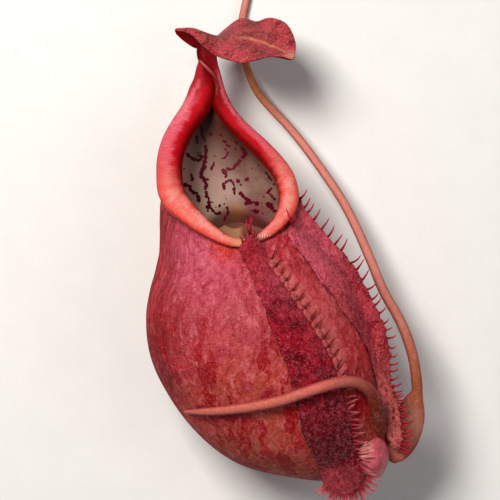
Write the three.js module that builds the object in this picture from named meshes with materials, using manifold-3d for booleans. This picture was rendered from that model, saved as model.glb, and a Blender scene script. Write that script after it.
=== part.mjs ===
// Pitcher of a hanging pitcher plant, as picked, lying on its back. Millimetres, +Z up.
//
// The outlines are read in a picture of the pitcher's front, so every outline point is given as it is
// seen: x to the right and y up on the plane z = OUTLINE_PLANE, from an eye straight above at EYE_HEIGHT.
// seen() slides such a point along its line of sight to the height where it really lies.

import * as THREE from "three";
import { LoftGeometry } from "three/addons/geometries/LoftGeometry.js";
import { mergeVertices } from "three/addons/utils/BufferGeometryUtils.js";
import Module from "manifold-3d";

const wasm = await Module();
wasm.setup();

// Driving dimensions
const EYE_HEIGHT = 660;
const OUTLINE_PLANE = 35;
const GAP = 0.32; // between pieces that touch
const CUP_WALL = 1.6;
const CUP_SIDES = 36;
const CUP_RINGS = 24;
const SOLID_BASE_RINGS = 4; // at the base the cup is filled
const MOUTH_RUN_OUT = 4; // how far the hollow's cut runs on past the rim
const LOBE_SEGMENTS = [20, 14];
const FLUID_LEVEL = 10;
const FLUID_CUT = 300; // side of the block that the pool is cut with
const COLLAR_FLATNESS = 0.62; // thickness of the roll over its width
const COLLAR_SIDES = 10;
const RIB_PITCH = 1.3;
const RIB_HEIGHT = 0.1;
const LID_THICKNESS = 0.9;
const WING_LIFT = GAP + 0.15; // from the cup to the underside of a wing
const WING_EDGE = 1.0;
const WING_CROWN = 1.5;
const RIGHT_WING_THICKNESS = 1.25;
const FILAMENT_ROOT_RADIUS = 0.42;
const FILAMENT_TIP_RADIUS = 0.12;
const FILAMENT_SIDES = 4;
const FILAMENT_SUNK = 0.7; // how deep a filament's root is sunk in its wing
const FILAMENT_BOW = 0.25;
const HEADING_SPREAD = 12; // degrees each way
const TENDRIL_SIDES = 10;
const TENDRIL_STEPS = 54;
const CLASP_SIDES = 8;
const CLASP_STEPS = 40;
const CLASP_FEELER = 1.2; // the stem also clears what lies this far to each side

const EYE = new THREE.Vector3(0, 0, EYE_HEIGHT);
const MOUTH_NORMAL = new THREE.Vector3(0, 0.61, 0.79).normalize();

function seen(x, y, z) {
  const reach = (EYE_HEIGHT - z) / (EYE_HEIGHT - OUTLINE_PLANE);
  return new THREE.Vector3(x * reach, y * reach, z);
}

// ---------------------------------------------------------------- solids

// A closed geometry becomes a solid once its shared corners are merged and its empty triangles gone.
function solidOf(geometry) {
  const bare = new THREE.BufferGeometry();
  bare.setAttribute("position", geometry.attributes.position);
  bare.setIndex(geometry.index);
  const merged = mergeVertices(bare, 1e-4);
  const positions = new Float32Array(merged.attributes.position.array);
  const index = merged.index.array;
  const triangles = [];
  for (let i = 0; i < index.length; i += 3) {
    const [a, b, c] = [index[i], index[i + 1], index[i + 2]];
    if (a !== b && b !== c && c !== a) {
      triangles.push(a, b, c);
    }
  }
  const mesh = new wasm.Mesh({
    numProp: 3,
    vertProperties: positions,
    triVerts: new Uint32Array(triangles),
  });
  mesh.merge();
  return new wasm.Manifold(mesh);
}

// The largest of the bodies that a cut leaves
function mainBody(solid) {
  return solid.decompose().reduce((best, one) => (one.volume() > best.volume() ? one : best));
}

function geometryOf(solid) {
  const { vertProperties, triVerts } = solid.getMesh();
  const geometry = new THREE.BufferGeometry();
  geometry.setAttribute("position", new THREE.BufferAttribute(new Float32Array(vertProperties), 3));
  geometry.setIndex(new THREE.BufferAttribute(new Uint32Array(triVerts), 1));
  geometry.computeVertexNormals();
  return geometry;
}

function centreOf(ring) {
  return ring.reduce((sum, point) => sum.add(point), new THREE.Vector3()).divideScalar(ring.length);
}

// Twice the area that a ring goes round, as a vector along its axis
function areaOf(ring) {
  const centre = centreOf(ring);
  return ring.reduce((sum, point, i) => {
    const next = ring[(i + 1) % ring.length];
    return sum.add(point.clone().sub(centre).cross(next.clone().sub(centre)));
  }, new THREE.Vector3());
}

// A solid skinned over rings of like points, which are turned round where they would face inwards.
// It is left uncapped where its first and last rings are folded flat.
function loft(sections, capped = true) {
  const advance = sections
    .slice(1)
    .reduce((sum, ring, i) => sum + areaOf(ring).dot(centreOf(ring).sub(centreOf(sections[i]))), 0);
  const rings = advance > 0 ? sections : sections.map((ring) => [...ring].reverse());
  return solidOf(new LoftGeometry(rings, { capStart: capped, capEnd: capped }));
}

// Points spread evenly, by number, along a smooth curve through the given points
function resample(points, count, closed = false) {
  const curve = new THREE.CatmullRomCurve3(points, closed, "centripetal");
  const last = closed ? count : count - 1;
  return Array.from({ length: count }, (_, i) => curve.getPoint(i / last));
}

// A value that runs smoothly through a list of values, at t from 0 to 1
function along(values, t) {
  const points = values.map((value, i) => new THREE.Vector3(i, value, 0));
  return new THREE.CatmullRomCurve3(points).getPoint(t).y;
}

// ---------------------------------------------------------------- stems and strands

// Rings round a route of [x, y, z, halfWidth, halfThickness], flat towards the direction `up`.
function sweepRings({ route, steps, sides, up, swell = () => 0 }) {
  const line = new THREE.CatmullRomCurve3(
    route.map(([x, y, z]) => seen(x, y, z)),
    false,
    "centripetal",
  );
  const widths = route.map((point) => point[3]);
  const thicknesses = route.map((point) => point[4]);
  return Array.from({ length: steps + 1 }, (_, i) => {
    const t = i / steps;
    const centre = line.getPoint(t);
    const tangent = line.getTangent(t);
    const across = new THREE.Vector3().crossVectors(tangent, up).normalize();
    const above = new THREE.Vector3().crossVectors(across, tangent).normalize();
    const halfWidth = along(widths, t) + swell(i);
    const halfThickness = along(thicknesses, t) + swell(i);
    return Array.from({ length: sides }, (_, j) => {
      const angle = (2 * Math.PI * j) / sides;
      return centre
        .clone()
        .addScaledVector(across, halfWidth * Math.cos(angle))
        .addScaledVector(above, halfThickness * Math.sin(angle));
    });
  });
}

// ---------------------------------------------------------------- peristome

// Each strand runs from the top of the neck to the front of the mouth: [x, y, z, halfWidth].
const LEFT_STRAND = [
  [-13.4, 60.4, 19.0, 2.8],
  [-13.8, 57.0, 19.0, 2.6],
  [-14.1, 52.5, 19.0, 2.8],
  [-14.6, 48.0, 19.0, 3.6],
  [-16.3, 42.6, 20.5, 4.3],
  [-19.8, 37.5, 23.5, 4.1],
  [-22.5, 32.4, 28.0, 4.1],
  [-23.9, 27.6, 32.0, 4.0],
  [-24.2, 22.2, 37.0, 3.9],
  [-23.6, 17.7, 41.5, 4.0],
  [-21.9, 14.1, 44.5, 4.0],
  [-18.8, 10.4, 47.5, 3.9],
  [-14.6, 7.1, 50.0, 3.6],
  [-9.9, 4.4, 52.0, 3.1],
  [-6.3, 2.9, 53.0, 2.6],
  [-2.7, 2.1, 53.5, 2.2],
  [-0.3, 2.1, 53.5, 2.1],
];
const RIGHT_STRAND = [
  [-11.8, 60.4, 18.5, 2.0],
  [-11.4, 57.0, 18.7, 1.9],
  [-10.8, 52.5, 18.5, 2.2],
  [-9.9, 48.0, 19.0, 2.6],
  [-8.6, 43.8, 20.5, 2.9],
  [-5.6, 39.3, 24.0, 2.8],
  [-1.5, 35.1, 27.5, 2.9],
  [2.7, 31.2, 31.0, 3.0],
  [6.6, 27.0, 35.0, 3.1],
  [9.5, 22.8, 39.0, 3.1],
  [11.1, 18.9, 42.5, 3.1],
  [11.6, 15.0, 45.5, 3.0],
  [10.5, 11.1, 48.0, 2.8],
  [8.3, 8.0, 50.0, 2.6],
  [5.4, 5.6, 51.5, 2.4],
  [2.1, 3.6, 52.8, 2.2],
  [-1.5, 2.3, 53.4, 2.1],
];
const NECK_POINTS = 4; // points of each strand that stand above the mouth
const NECK_BACK = [-12.3, 47.0, 19.2, 3.0]; // where the cup's rim passes behind the neck

function strandSolid(strand) {
  const route = strand.map(([x, y, z, half]) => [x, y, z, half, half * COLLAR_FLATNESS]);
  const line = new THREE.CatmullRomCurve3(strand.map(([x, y, z]) => seen(x, y, z)));
  const steps = 2 * Math.round(line.getLength() / (2 * RIB_PITCH));
  return loft(
    sweepRings({
      route,
      steps,
      sides: COLLAR_SIDES,
      up: MOUTH_NORMAL,
      swell: (i) => (i % 2 ? RIB_HEIGHT : -RIB_HEIGHT),
    }),
  );
}

// ---------------------------------------------------------------- cup

// The rim lies just under the middle of the collar, all the way round from the front by the right.
function rimRing() {
  const right = RIGHT_STRAND.slice(NECK_POINTS).reverse();
  const left = LEFT_STRAND.slice(NECK_POINTS, -2);
  const points = [...right, NECK_BACK, ...left].map(([x, y, z, half]) =>
    seen(x, y, z).addScaledVector(MOUTH_NORMAL, -half * COLLAR_FLATNESS - GAP - RIB_HEIGHT),
  );
  return resample(points, CUP_SIDES, true);
}

// Rings below the rim, by the four points where each is furthest left, right, front and back
const CUP_STATIONS = [
  { left: [-26.9, 9.0, 33], right: [14.1, 13.5, 38], front: [-2.7, -0.9, 53], back: [-10.5, 34.5, 13.5] },
  { left: [-27.4, -2.4, 31], right: [21.6, 4.5, 34], front: [-1.2, -4.8, 56], back: [-6.6, 17, 11.7] },
  { left: [-30.3, -12.0, 31], right: [28.5, -4.5, 31], front: [0.3, -11.4, 58.5], back: [-2.4, 1.5, 5.6] },
  { left: [-31.4, -21.0, 30.2], right: [33.6, -15, 31], front: [1.8, -20.4, 60.5], back: [3, -14, -0.8] },
  { left: [-29.9, -32, 30], right: [37.2, -25.5, 30.5], front: [3.9, -30, 60.5], back: [5.5, -26, -0.5] },
  { left: [-24.8, -43.3, 30], right: [39.3, -35.4, 31], front: [8.1, -40.5, 59], back: [9.0, -40.5, 1] },
  { left: [-17.8, -53.2, 31], right: [40.2, -44.1, 32], front: [13.8, -48.9, 56], back: [15, -51, 5.5] },
  { left: [-4.8, -63.6, 32], right: [40.8, -52.2, 33], front: [20.4, -57.3, 52], back: [21.9, -60, 12] },
  { left: [13.5, -68.4, 33.5], right: [41.4, -58.2, 34], front: [28.5, -61.8, 47], back: [29.4, -65.4, 20] },
  { left: [27, -69.4, 34], right: [41.5, -62.6, 34], front: [34.6, -65.1, 42], back: [35.4, -67.2, 26] },
  { left: [33.2, -70, 34], right: [39.8, -66.9, 34], front: [36.6, -67.6, 38], back: [36.9, -68.8, 30] },
];
// The smooth lobe at the cup's base, and its half sizes
const LOBE_CENTRE = seen(35.6, -62.0, 36);
const LOBE_SIZE = new THREE.Vector3(6.9, 7.6, 8.2);

// A smooth ring through four points, with its angle from the front towards the right
function stationRing({ left, right, front, back }) {
  const [l, r, f, b] = [left, right, front, back].map((point) => seen(...point));
  const middle = f.clone().add(b).multiplyScalar(0.5);
  const depth = f.clone().sub(b).multiplyScalar(0.5);
  const width = r.clone().sub(l).multiplyScalar(0.5);
  const shift = l.clone().add(r).multiplyScalar(0.5).sub(middle);
  return Array.from({ length: CUP_SIDES }, (_, i) => {
    const angle = (2 * Math.PI * i) / CUP_SIDES;
    return middle
      .clone()
      .addScaledVector(depth, Math.cos(angle))
      .addScaledVector(width, Math.sin(angle))
      .addScaledVector(shift, Math.sin(angle) ** 2);
  });
}

// Rings from the rim to the base: a smooth curve runs through each row of like points.
function cupRings(rings) {
  const stations = [rimRing(), ...CUP_STATIONS.map(stationRing)];
  const rows = Array.from({ length: CUP_SIDES }, (_, i) =>
    resample(stations.map((ring) => ring[i]), rings),
  );
  return Array.from({ length: rings }, (_, k) => rows.map((row) => row[k]));
}

// The rings grown by `growth` all round, or shrunk where it is negative
function grown(rings, growth) {
  return rings.map((ring) => {
    const centre = centreOf(ring);
    return ring.map((point) => {
      const arm = point.clone().sub(centre);
      return centre.clone().addScaledVector(arm, 1 + growth / arm.length());
    });
  });
}

function lobe(growth) {
  const geometry = new THREE.SphereGeometry(1, ...LOBE_SEGMENTS);
  geometry.scale(LOBE_SIZE.x + growth, LOBE_SIZE.y + growth, LOBE_SIZE.z + growth);
  geometry.translate(LOBE_CENTRE.x, LOBE_CENTRE.y, LOBE_CENTRE.z);
  return solidOf(geometry);
}

const cupSurface = cupRings(CUP_RINGS);
const restingRings = cupSurface.map((ring) =>
  ring.map((point) => new THREE.Vector3(point.x, point.y, Math.max(point.z, 0))),
);
const filledCup = loft(restingRings).add(lobe(0));
const cupGuard = loft(grown(cupSurface, GAP)).add(lobe(GAP));

// The hollow runs on through the rim, and stops short of the base.
function hollow(shrink) {
  const inner = grown(cupSurface.slice(0, -SOLID_BASE_RINGS), -shrink);
  const mouth = inner[0].map((point) => point.clone().addScaledVector(MOUTH_NORMAL, MOUTH_RUN_OUT));
  return loft([mouth, ...inner]);
}

const pitcherCup = mainBody(filledCup.subtract(hollow(CUP_WALL)));

// ---------------------------------------------------------------- fluid

function fluidPool() {
  const below = new THREE.BoxGeometry(FLUID_CUT, FLUID_CUT, 2 * FLUID_LEVEL);
  return mainBody(hollow(CUP_WALL + GAP).intersect(solidOf(below)));
}

// ---------------------------------------------------------------- lid

// Sections across the lid from its left tip to its right tip: far edge, middle and near edge
const LID_SECTIONS = [
  { far: [-22.0, 64.6, 21.0], mid: [-22.6, 66.0, 22.0], near: [-21.6, 66.0, 22.6] },
  { far: [-19.8, 62.7, 18.0], mid: [-17.4, 66.2, 24.0], near: [-17.4, 64.5, 28.0] },
  { far: [-16.2, 60.6, 16.0], mid: [-13.8, 65.1, 25.0], near: [-14.4, 61.5, 31.0] },
  { far: [-12.6, 61.5, 13.5], mid: [-9.9, 63.9, 24.5], near: [-10.5, 58.5, 34.0] },
  { far: [-7.2, 66.3, 12.0], mid: [-5.4, 63.6, 26.0], near: [-6.3, 56.9, 37.0] },
  { far: [-3.0, 69.3, 13.0], mid: [-1.2, 63.3, 28.0], near: [-2.1, 56.3, 39.0] },
  { far: [1.8, 69.3, 15.0], mid: [2.4, 62.4, 30.0], near: [2.1, 57.1, 40.0] },
  { far: [6.6, 69.6, 19.0], mid: [6.3, 60.9, 32.0], near: [6.0, 58.3, 40.0] },
  { far: [11.1, 67.8, 25.0], mid: [9.9, 59.4, 34.0], near: [9.6, 58.3, 39.0] },
  { far: [13.5, 62.7, 32.0], mid: [12.3, 58.2, 36.0], near: [12.0, 57.5, 38.0] },
  { far: [13.6, 58.6, 36.0], mid: [13.3, 57.7, 37.0], near: [13.1, 57.4, 37.4] },
];
const LID_ROWS = 30;
const LID_COLUMNS = 11;

// A blade of even thickness about a grid of points, with the same split on both faces
function bladeSections(grid, thickness) {
  const at = (i, j) =>
    grid[THREE.MathUtils.clamp(i, 0, grid.length - 1)][THREE.MathUtils.clamp(j, 0, grid[0].length - 1)];
  const side = (i, j, sign) => {
    const lengthwise = at(i + 1, j).clone().sub(at(i - 1, j));
    const crosswise = at(i, j + 1).clone().sub(at(i, j - 1));
    const normal = lengthwise.cross(crosswise).normalize();
    const folded = i === 0 || i === grid.length - 1;
    return at(i, j).clone().addScaledVector(normal, folded ? 0 : (sign * thickness) / 2);
  };
  return grid.map((row, i) => {
    const upper = row.map((_, j) => side(i, j, 1));
    const lower = row.map((_, j) => side(i, j, -1));
    return [...upper, ...lower.reverse()];
  });
}

function lidGrid() {
  const columns = Array.from({ length: LID_COLUMNS }, (_, j) => {
    const w = (2 * j) / (LID_COLUMNS - 1) - 1;
    const points = LID_SECTIONS.map(({ far, mid, near }) => {
      const [f, m, n] = [far, mid, near].map((point) => seen(...point));
      const slope = n.clone().sub(f).multiplyScalar(0.5);
      const bend = n.clone().add(f).multiplyScalar(0.5).sub(m);
      return m.addScaledVector(slope, w).addScaledVector(bend, w * w);
    });
    return resample(points, LID_ROWS);
  });
  return Array.from({ length: LID_ROWS }, (_, i) => columns.map((column) => column[i]));
}

const lid = loft(bladeSections(lidGrid(), LID_THICKNESS), false);
const lidGuard = loft(bladeSections(lidGrid(), LID_THICKNESS + 2 * GAP), false);

const peristome = mainBody(
  strandSolid(LEFT_STRAND).add(strandSolid(RIGHT_STRAND)).subtract(lidGuard).subtract(cupGuard),
);

// ---------------------------------------------------------------- laying pieces on the cup

const raycaster = new THREE.Raycaster();

function targetOf(solid) {
  return new THREE.Mesh(geometryOf(solid), new THREE.MeshBasicMaterial({ side: THREE.DoubleSide }));
}

// Where the line of sight to (x, y) first meets one of the targets, or a point at `fallback` height
function landing(x, y, targets, fallback) {
  const aim = seen(x, y, OUTLINE_PLANE).sub(EYE).normalize();
  raycaster.set(EYE, aim);
  const hit = raycaster.intersectObjects(targets, false)[0];
  const free = seen(x, y, fallback);
  return hit && hit.point.z > fallback ? hit.point : free;
}

function lifted(point, height) {
  return point.clone().addScaledVector(EYE.clone().sub(point).normalize(), height);
}

const cupTarget = targetOf(filledCup);

// A wing lies on the cup: its sections run from the root to the free edge, each given as
// [rootX, rootY, edgeX, edgeY, rootFloor, edgeFloor], and it never dips below those two heights.
function wingSections({ stations, rows, columns, thickness }) {
  const fields = stations[0].map((_, k) => stations.map((station) => station[k]));
  return Array.from({ length: rows }, (_, i) => {
    const t = i / (rows - 1);
    const [rootX, rootY, edgeX, edgeY, rootFloor, edgeFloor] = fields.map((field) => along(field, t));
    const base = Array.from({ length: columns }, (_, j) => {
      const f = j / (columns - 1);
      const x = THREE.MathUtils.lerp(rootX, edgeX, f);
      const y = THREE.MathUtils.lerp(rootY, edgeY, f);
      const floor = THREE.MathUtils.lerp(rootFloor, edgeFloor, f);
      return landing(x, y, [cupTarget], floor);
    });
    const folded = i === 0 || i === rows - 1;
    const lower = base.map((point) => lifted(point, WING_LIFT));
    const upper = base.map((point, j) => {
      const rise = folded ? 0 : thickness(j / (columns - 1));
      return lifted(point, WING_LIFT + rise);
    });
    return [...upper, ...lower.reverse()];
  });
}

// ---------------------------------------------------------------- filaments

// A pseudo-random number from 0 to 1 that is the same on every run
function randomSource(seed) {
  let state = seed;
  return () => {
    state = (state * 16807) % 2147483647;
    return state / 2147483647;
  };
}

// A tapering bristle from root to tip, bowed sideways by `bow`
function filament(root, tip, bow) {
  const axis = tip.clone().sub(root);
  const across = new THREE.Vector3().crossVectors(axis, new THREE.Vector3(0, 0, 1)).normalize();
  const above = new THREE.Vector3().crossVectors(across, axis).normalize();
  const radii = [FILAMENT_ROOT_RADIUS, 0.7 * FILAMENT_ROOT_RADIUS, FILAMENT_TIP_RADIUS];
  const rings = radii.map((radius, i) => {
    const t = i / 2;
    const centre = root
      .clone()
      .addScaledVector(axis, t)
      .addScaledVector(across, bow * Math.sin(Math.PI * t));
    return Array.from({ length: FILAMENT_SIDES }, (_, j) => {
      const angle = (2 * Math.PI * j) / FILAMENT_SIDES;
      return centre
        .clone()
        .addScaledVector(across, radius * Math.cos(angle))
        .addScaledVector(above, radius * Math.sin(angle));
    });
  });
  return loft(rings);
}

// Filaments along an edge of [x, y] points: each stands out by the length and heading at its place.
function fringe({ edge, count, lengths, headings, height, tipHeight, seed }) {
  const random = randomSource(seed);
  const line = new THREE.CatmullRomCurve3(edge.map(([x, y]) => new THREE.Vector3(x, y, 0)));
  return Array.from({ length: count }, (_, i) => {
    const t = (i + 0.25 + 0.5 * random()) / count;
    const foot = line.getPointAt(t);
    const length = along(lengths, t) * (0.85 + 0.3 * random());
    const heading = THREE.MathUtils.degToRad(along(headings, t) + HEADING_SPREAD * (2 * random() - 1));
    const [dx, dy] = [Math.cos(heading), Math.sin(heading)];
    const root = height(foot.x - FILAMENT_SUNK * dx, foot.y - FILAMENT_SUNK * dy, t);
    const tip = tipHeight(foot.x + length * dx, foot.y + length * dy, t);
    return filament(root, tip, FILAMENT_BOW * (2 * random() - 1));
  });
}

function fused(blade, filaments) {
  return filaments.reduce((whole, one) => whole.add(one), blade);
}

// ---------------------------------------------------------------- left wing

const LEFT_WING = [
  [-2.4, 2.4, 1.2, 4.0, 56.6, 56.6],
  [-3.3, 0.0, 2.2, 2.8, 56.0, 56.0],
  [-1.8, -2.7, 4.2, 0.6, 55.0, 55.0],
  [-0.5, -5.4, 6.0, -2.1, 50, 50],
  [0.8, -8.3, 8.7, -6.3, 50, 50],
  [2.4, -13.2, 11.4, -9.9, 40, 40],
  [4.5, -18.3, 14.4, -14.7, 40, 40],
  [6.5, -24.0, 17.4, -18.9, 40, 40],
  [8.4, -28.8, 20.7, -24.0, 40, 40],
  [10.5, -33.0, 23.4, -28.5, 40, 40],
  [12.3, -39.0, 25.8, -33.0, 40, 40],
  [14.4, -46.5, 27.6, -38.4, 40, 40],
  [15.6, -54.3, 30.0, -45.9, 40, 40],
  [17.4, -59.1, 32.1, -51.3, 42, 42],
  [19.8, -63.3, 33.3, -57.0, 43, 44],
  [21.0, -67.8, 34.8, -62.1, 42.5, 45],
  [22.5, -71.1, 36.3, -66.6, 41, 43],
  [25.8, -73.2, 34.8, -70.2, 40, 41],
  [28.5, -73.8, 31.5, -72.9, 39.5, 40],
];
const LEFT_WING_ROWS = 36;
const LEFT_WING_COLUMNS = 7;
const LEFT_FRINGE_EDGE = LEFT_WING.slice(3, 17).map(([, , x, y]) => [x, y]);
const LEFT_FOOT_EDGE = [
  [22.2, -70.2],
  [25.0, -72.9],
  [29.4, -73.8],
  [33.6, -71.8],
  [36.2, -67.8],
];
const LEFT_TUFT_EDGE = [
  [-2.6, 2.0],
  [-0.4, 3.2],
  [2.0, 2.8],
];

function leftWing() {
  const thickness = (f) => WING_EDGE + WING_CROWN * Math.sin(Math.PI * f);
  const blade = loft(
    wingSections({
      stations: LEFT_WING,
      rows: LEFT_WING_ROWS,
      columns: LEFT_WING_COLUMNS,
      thickness,
    }),
    false,
  );
  const onCup = (height, floor) => (x, y) => lifted(landing(x, y, [cupTarget], floor), height);
  const side = fringe({
    edge: LEFT_FRINGE_EDGE,
    count: 22,
    lengths: [2.6, 3.2, 3.4, 3.2, 3.6],
    headings: [60, 52, 45, 20, 0],
    height: onCup(GAP + 0.65, 42),
    tipHeight: onCup(GAP + 1.0, 42),
    seed: 7,
  });
  const foot = fringe({
    edge: LEFT_FOOT_EDGE,
    count: 15,
    lengths: [3.0, 3.4, 3.4, 3.6, 3.8],
    headings: [215, 235, 275, 310, 350],
    height: (x, y) => seen(x, y, 41.5),
    tipHeight: (x, y) => seen(x, y, 40.5),
    seed: 19,
  });
  const tuft = fringe({
    edge: LEFT_TUFT_EDGE,
    count: 7,
    lengths: [2.6, 6.5, 3.6],
    headings: [115, 88, 70],
    height: (x, y) => seen(x, y, 57.2),
    tipHeight: (x, y) => seen(x, y, 58.6),
    seed: 31,
  });
  return { blade, whole: fused(blade, [...side, ...foot, ...tuft]) };
}

// ---------------------------------------------------------------- right wing

const RIGHT_WING = [
  [12.8, 6.0, 16.4, 12.4, 44, 41.5],
  [12.6, 4.0, 19.2, 9.0, 44, 41],
  [13.8, 1.4, 23.1, 4.7, 44, 40],
  [15.6, -1.4, 27.0, 0.3, 44, 38.5],
  [18.6, -5.7, 30.9, -4.2, 44, 37],
  [21.8, -10.4, 33.9, -9.3, 42, 36],
  [24.9, -14.0, 36.4, -14.4, 42, 35.5],
  [27.0, -17.4, 38.4, -18.6, 42, 35.5],
  [30.0, -21.3, 40.4, -23.1, 40, 35.5],
  [32.4, -24.3, 41.6, -27.6, 40, 36],
  [33.9, -27.0, 42.2, -31.5, 40, 36],
  [35.7, -30.9, 42.2, -36.0, 40, 36.5],
  [37.0, -35.0, 42.9, -40.2, 40, 37],
  [37.8, -39.3, 43.8, -44.2, 40, 38],
  [39.0, -44.1, 44.9, -48.0, 40, 39],
  [40.2, -48.6, 44.8, -51.6, 40, 39.5],
  [41.1, -53.4, 43.8, -54.9, 40, 40],
  [42.0, -57.0, 43.5, -58.2, 40, 40],
];
const RIGHT_WING_ROWS = 32;
const RIGHT_WING_COLUMNS = 6;
const RIGHT_FRINGE_EDGE = RIGHT_WING.map(([, , x, y]) => [x, y]);

function rightWing() {
  const thickness = () => RIGHT_WING_THICKNESS;
  const blade = loft(
    wingSections({
      stations: RIGHT_WING,
      rows: RIGHT_WING_ROWS,
      columns: RIGHT_WING_COLUMNS,
      thickness,
    }),
    false,
  );
  const floors = RIGHT_WING.map((station) => station[5]);
  const onEdge = (rise) => (x, y, t) =>
    lifted(landing(x, y, [cupTarget], along(floors, t)), GAP + rise);
  const side = fringe({
    edge: RIGHT_FRINGE_EDGE,
    count: 30,
    lengths: [3.4, 3.8, 3.4, 2.6, 2.4, 2.6, 2.8],
    headings: [66, 58, 48, 30, 20, 5, -25],
    height: onEdge(0.6),
    tipHeight: onEdge(1.1),
    seed: 43,
  });
  return fused(blade, side);
}

// ---------------------------------------------------------------- tendrils

// [x, y, z, halfWidth, halfThickness] from the cut end to the scoop at the base
const TENDRIL_ROUTE = [
  [0.2, 80.4, 1.5, 1.35, 1.35],
  [-1.1, 75.0, 1.6, 1.35, 1.35],
  [-2.3, 69.3, 2.0, 1.35, 1.35],
  [-2.7, 63.0, 2.4, 1.4, 1.4],
  [-1.5, 56.4, 3.0, 1.4, 1.4],
  [2.3, 47.4, 4.5, 1.45, 1.45],
  [11.7, 36.8, 7.0, 1.5, 1.5],
  [17.0, 30.3, 8.5, 1.55, 1.55],
  [27.6, 15.0, 12.0, 1.6, 1.6],
  [32.1, 6.3, 14.5, 1.65, 1.65],
  [36.3, -3.3, 17.0, 1.7, 1.7],
  [40.2, -12.6, 20.0, 1.75, 1.75],
  [45.3, -21.8, 24.0, 1.8, 1.8],
  [48.6, -30.9, 28.0, 1.85, 1.85],
  [49.9, -38.4, 31.0, 1.9, 1.9],
  [49.8, -42.6, 32.0, 2.4, 1.9],
  [48.9, -46.8, 33.0, 3.5, 1.7],
  [48.4, -51.0, 33.5, 4.0, 1.6],
  [47.0, -55.5, 34.0, 4.1, 1.7],
  [45.2, -59.3, 34.2, 3.5, 1.9],
  [42.6, -61.8, 34.2, 2.6, 2.0],
];
const UP = new THREE.Vector3(0, 0, 1);

function tendril() {
  const rings = sweepRings({
    route: TENDRIL_ROUTE,
    steps: TENDRIL_STEPS,
    sides: TENDRIL_SIDES,
    up: UP,
  });
  return mainBody(loft(rings).subtract(cupGuard));
}

// [x, y, radius] from beside the base to the tip
const CLASP_ROUTE = [
  [38.6, -54.6, 1.5],
  [39.0, -50.4, 1.65],
  [38.3, -46.2, 1.7],
  [36.3, -42.3, 1.7],
  [32.4, -40.0, 1.7],
  [27.9, -39.6, 1.7],
  [22.5, -40.8, 1.7],
  [15.9, -42.9, 1.65],
  [9.0, -45.2, 1.6],
  [1.5, -46.8, 1.5],
  [-6.0, -47.9, 1.35],
  [-12.6, -48.4, 1.1],
  [-16.8, -48.5, 0.75],
  [-19.4, -48.5, 0.4],
];

function claspRoute(targets) {
  return CLASP_ROUTE.map(([x, y, radius]) => {
    const heights = [
      [0, 0],
      [CLASP_FEELER, 0],
      [-CLASP_FEELER, 0],
      [0, CLASP_FEELER],
      [0, -CLASP_FEELER],
    ].map(([dx, dy]) => landing(x + dx, y + dy, targets, OUTLINE_PLANE).z);
    return [x, y, Math.max(...heights) + radius + GAP, radius, radius];
  });
}

function claspRings(targets, growth) {
  const route = claspRoute(targets).map(([x, y, z, w, t]) => [x, y, z, w + growth, t + growth]);
  return sweepRings({ route, steps: CLASP_STEPS, sides: CLASP_SIDES, up: UP });
}

// ---------------------------------------------------------------- assembly

const left = leftWing();
const right = rightWing();
const claspTargets = [cupTarget, targetOf(left.blade)];
const claspGuard = loft(claspRings(claspTargets, GAP));
const swollen = (strand) => strand.map(([x, y, z, half]) => [x, y, z, half + GAP / COLLAR_FLATNESS]);
const peristomeGuard = strandSolid(swollen(LEFT_STRAND)).add(strandSolid(swollen(RIGHT_STRAND)));
const clearOfAll = (wing) =>
  mainBody(wing.subtract(cupGuard).subtract(peristomeGuard).subtract(claspGuard));

const pieces = {
  pitcher_cup: { solid: pitcherCup, color: 0xb0434a, roughness: 0.6 },
  peristome: { solid: peristome, color: 0xd0343c, roughness: 0.25 },
  lid: { solid: mainBody(lid), color: 0xb4454f, roughness: 0.6 },
  left_wing: {
    solid: clearOfAll(left.whole),
    color: 0x6e1420,
    roughness: 0.8,
  },
  right_wing: {
    solid: clearOfAll(right),
    color: 0xa03040,
    roughness: 0.7,
  },
  tendril: { solid: tendril(), color: 0xb4734a, roughness: 0.5 },
  clasping_tendril: {
    solid: mainBody(loft(claspRings(claspTargets, 0)).subtract(cupGuard)),
    color: 0xc4604c,
    roughness: 0.5,
  },
  digestive_fluid: { solid: fluidPool(), color: 0xd8cfa0, roughness: 0.1 },
};

const part = new THREE.Group();
for (const [name, { solid, color, roughness }] of Object.entries(pieces)) {
  const material = new THREE.MeshStandardMaterial({ color, roughness, metalness: 0 });
  const mesh = new THREE.Mesh(geometryOf(solid), material);
  mesh.name = name;
  part.add(mesh);
}

// The origin is the middle of the box's underside.
const box = new THREE.Box3().setFromObject(part);
const middle = box.getCenter(new THREE.Vector3());
part.position.set(-middle.x, -middle.y, -box.min.z);

export default part;
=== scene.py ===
# %% [markdown]
# ## A pitcher plant's trap, laid on its back
# The object is one ripe pitcher: a swollen leaf cup with a rolled, glossy collar round its
# mouth, a small waved lid, two fringed wings down its front, the tendril that carried it and a
# second, slender tendril that clasps it. It lies on a pale table and is seen from straight above.
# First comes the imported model, which fixes where everything is.

# %% Load the frame
import math
import random

import bmesh
import bpy
from mathutils import Matrix, Vector, noise
from mathutils.bvhtree import BVHTree


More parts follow.
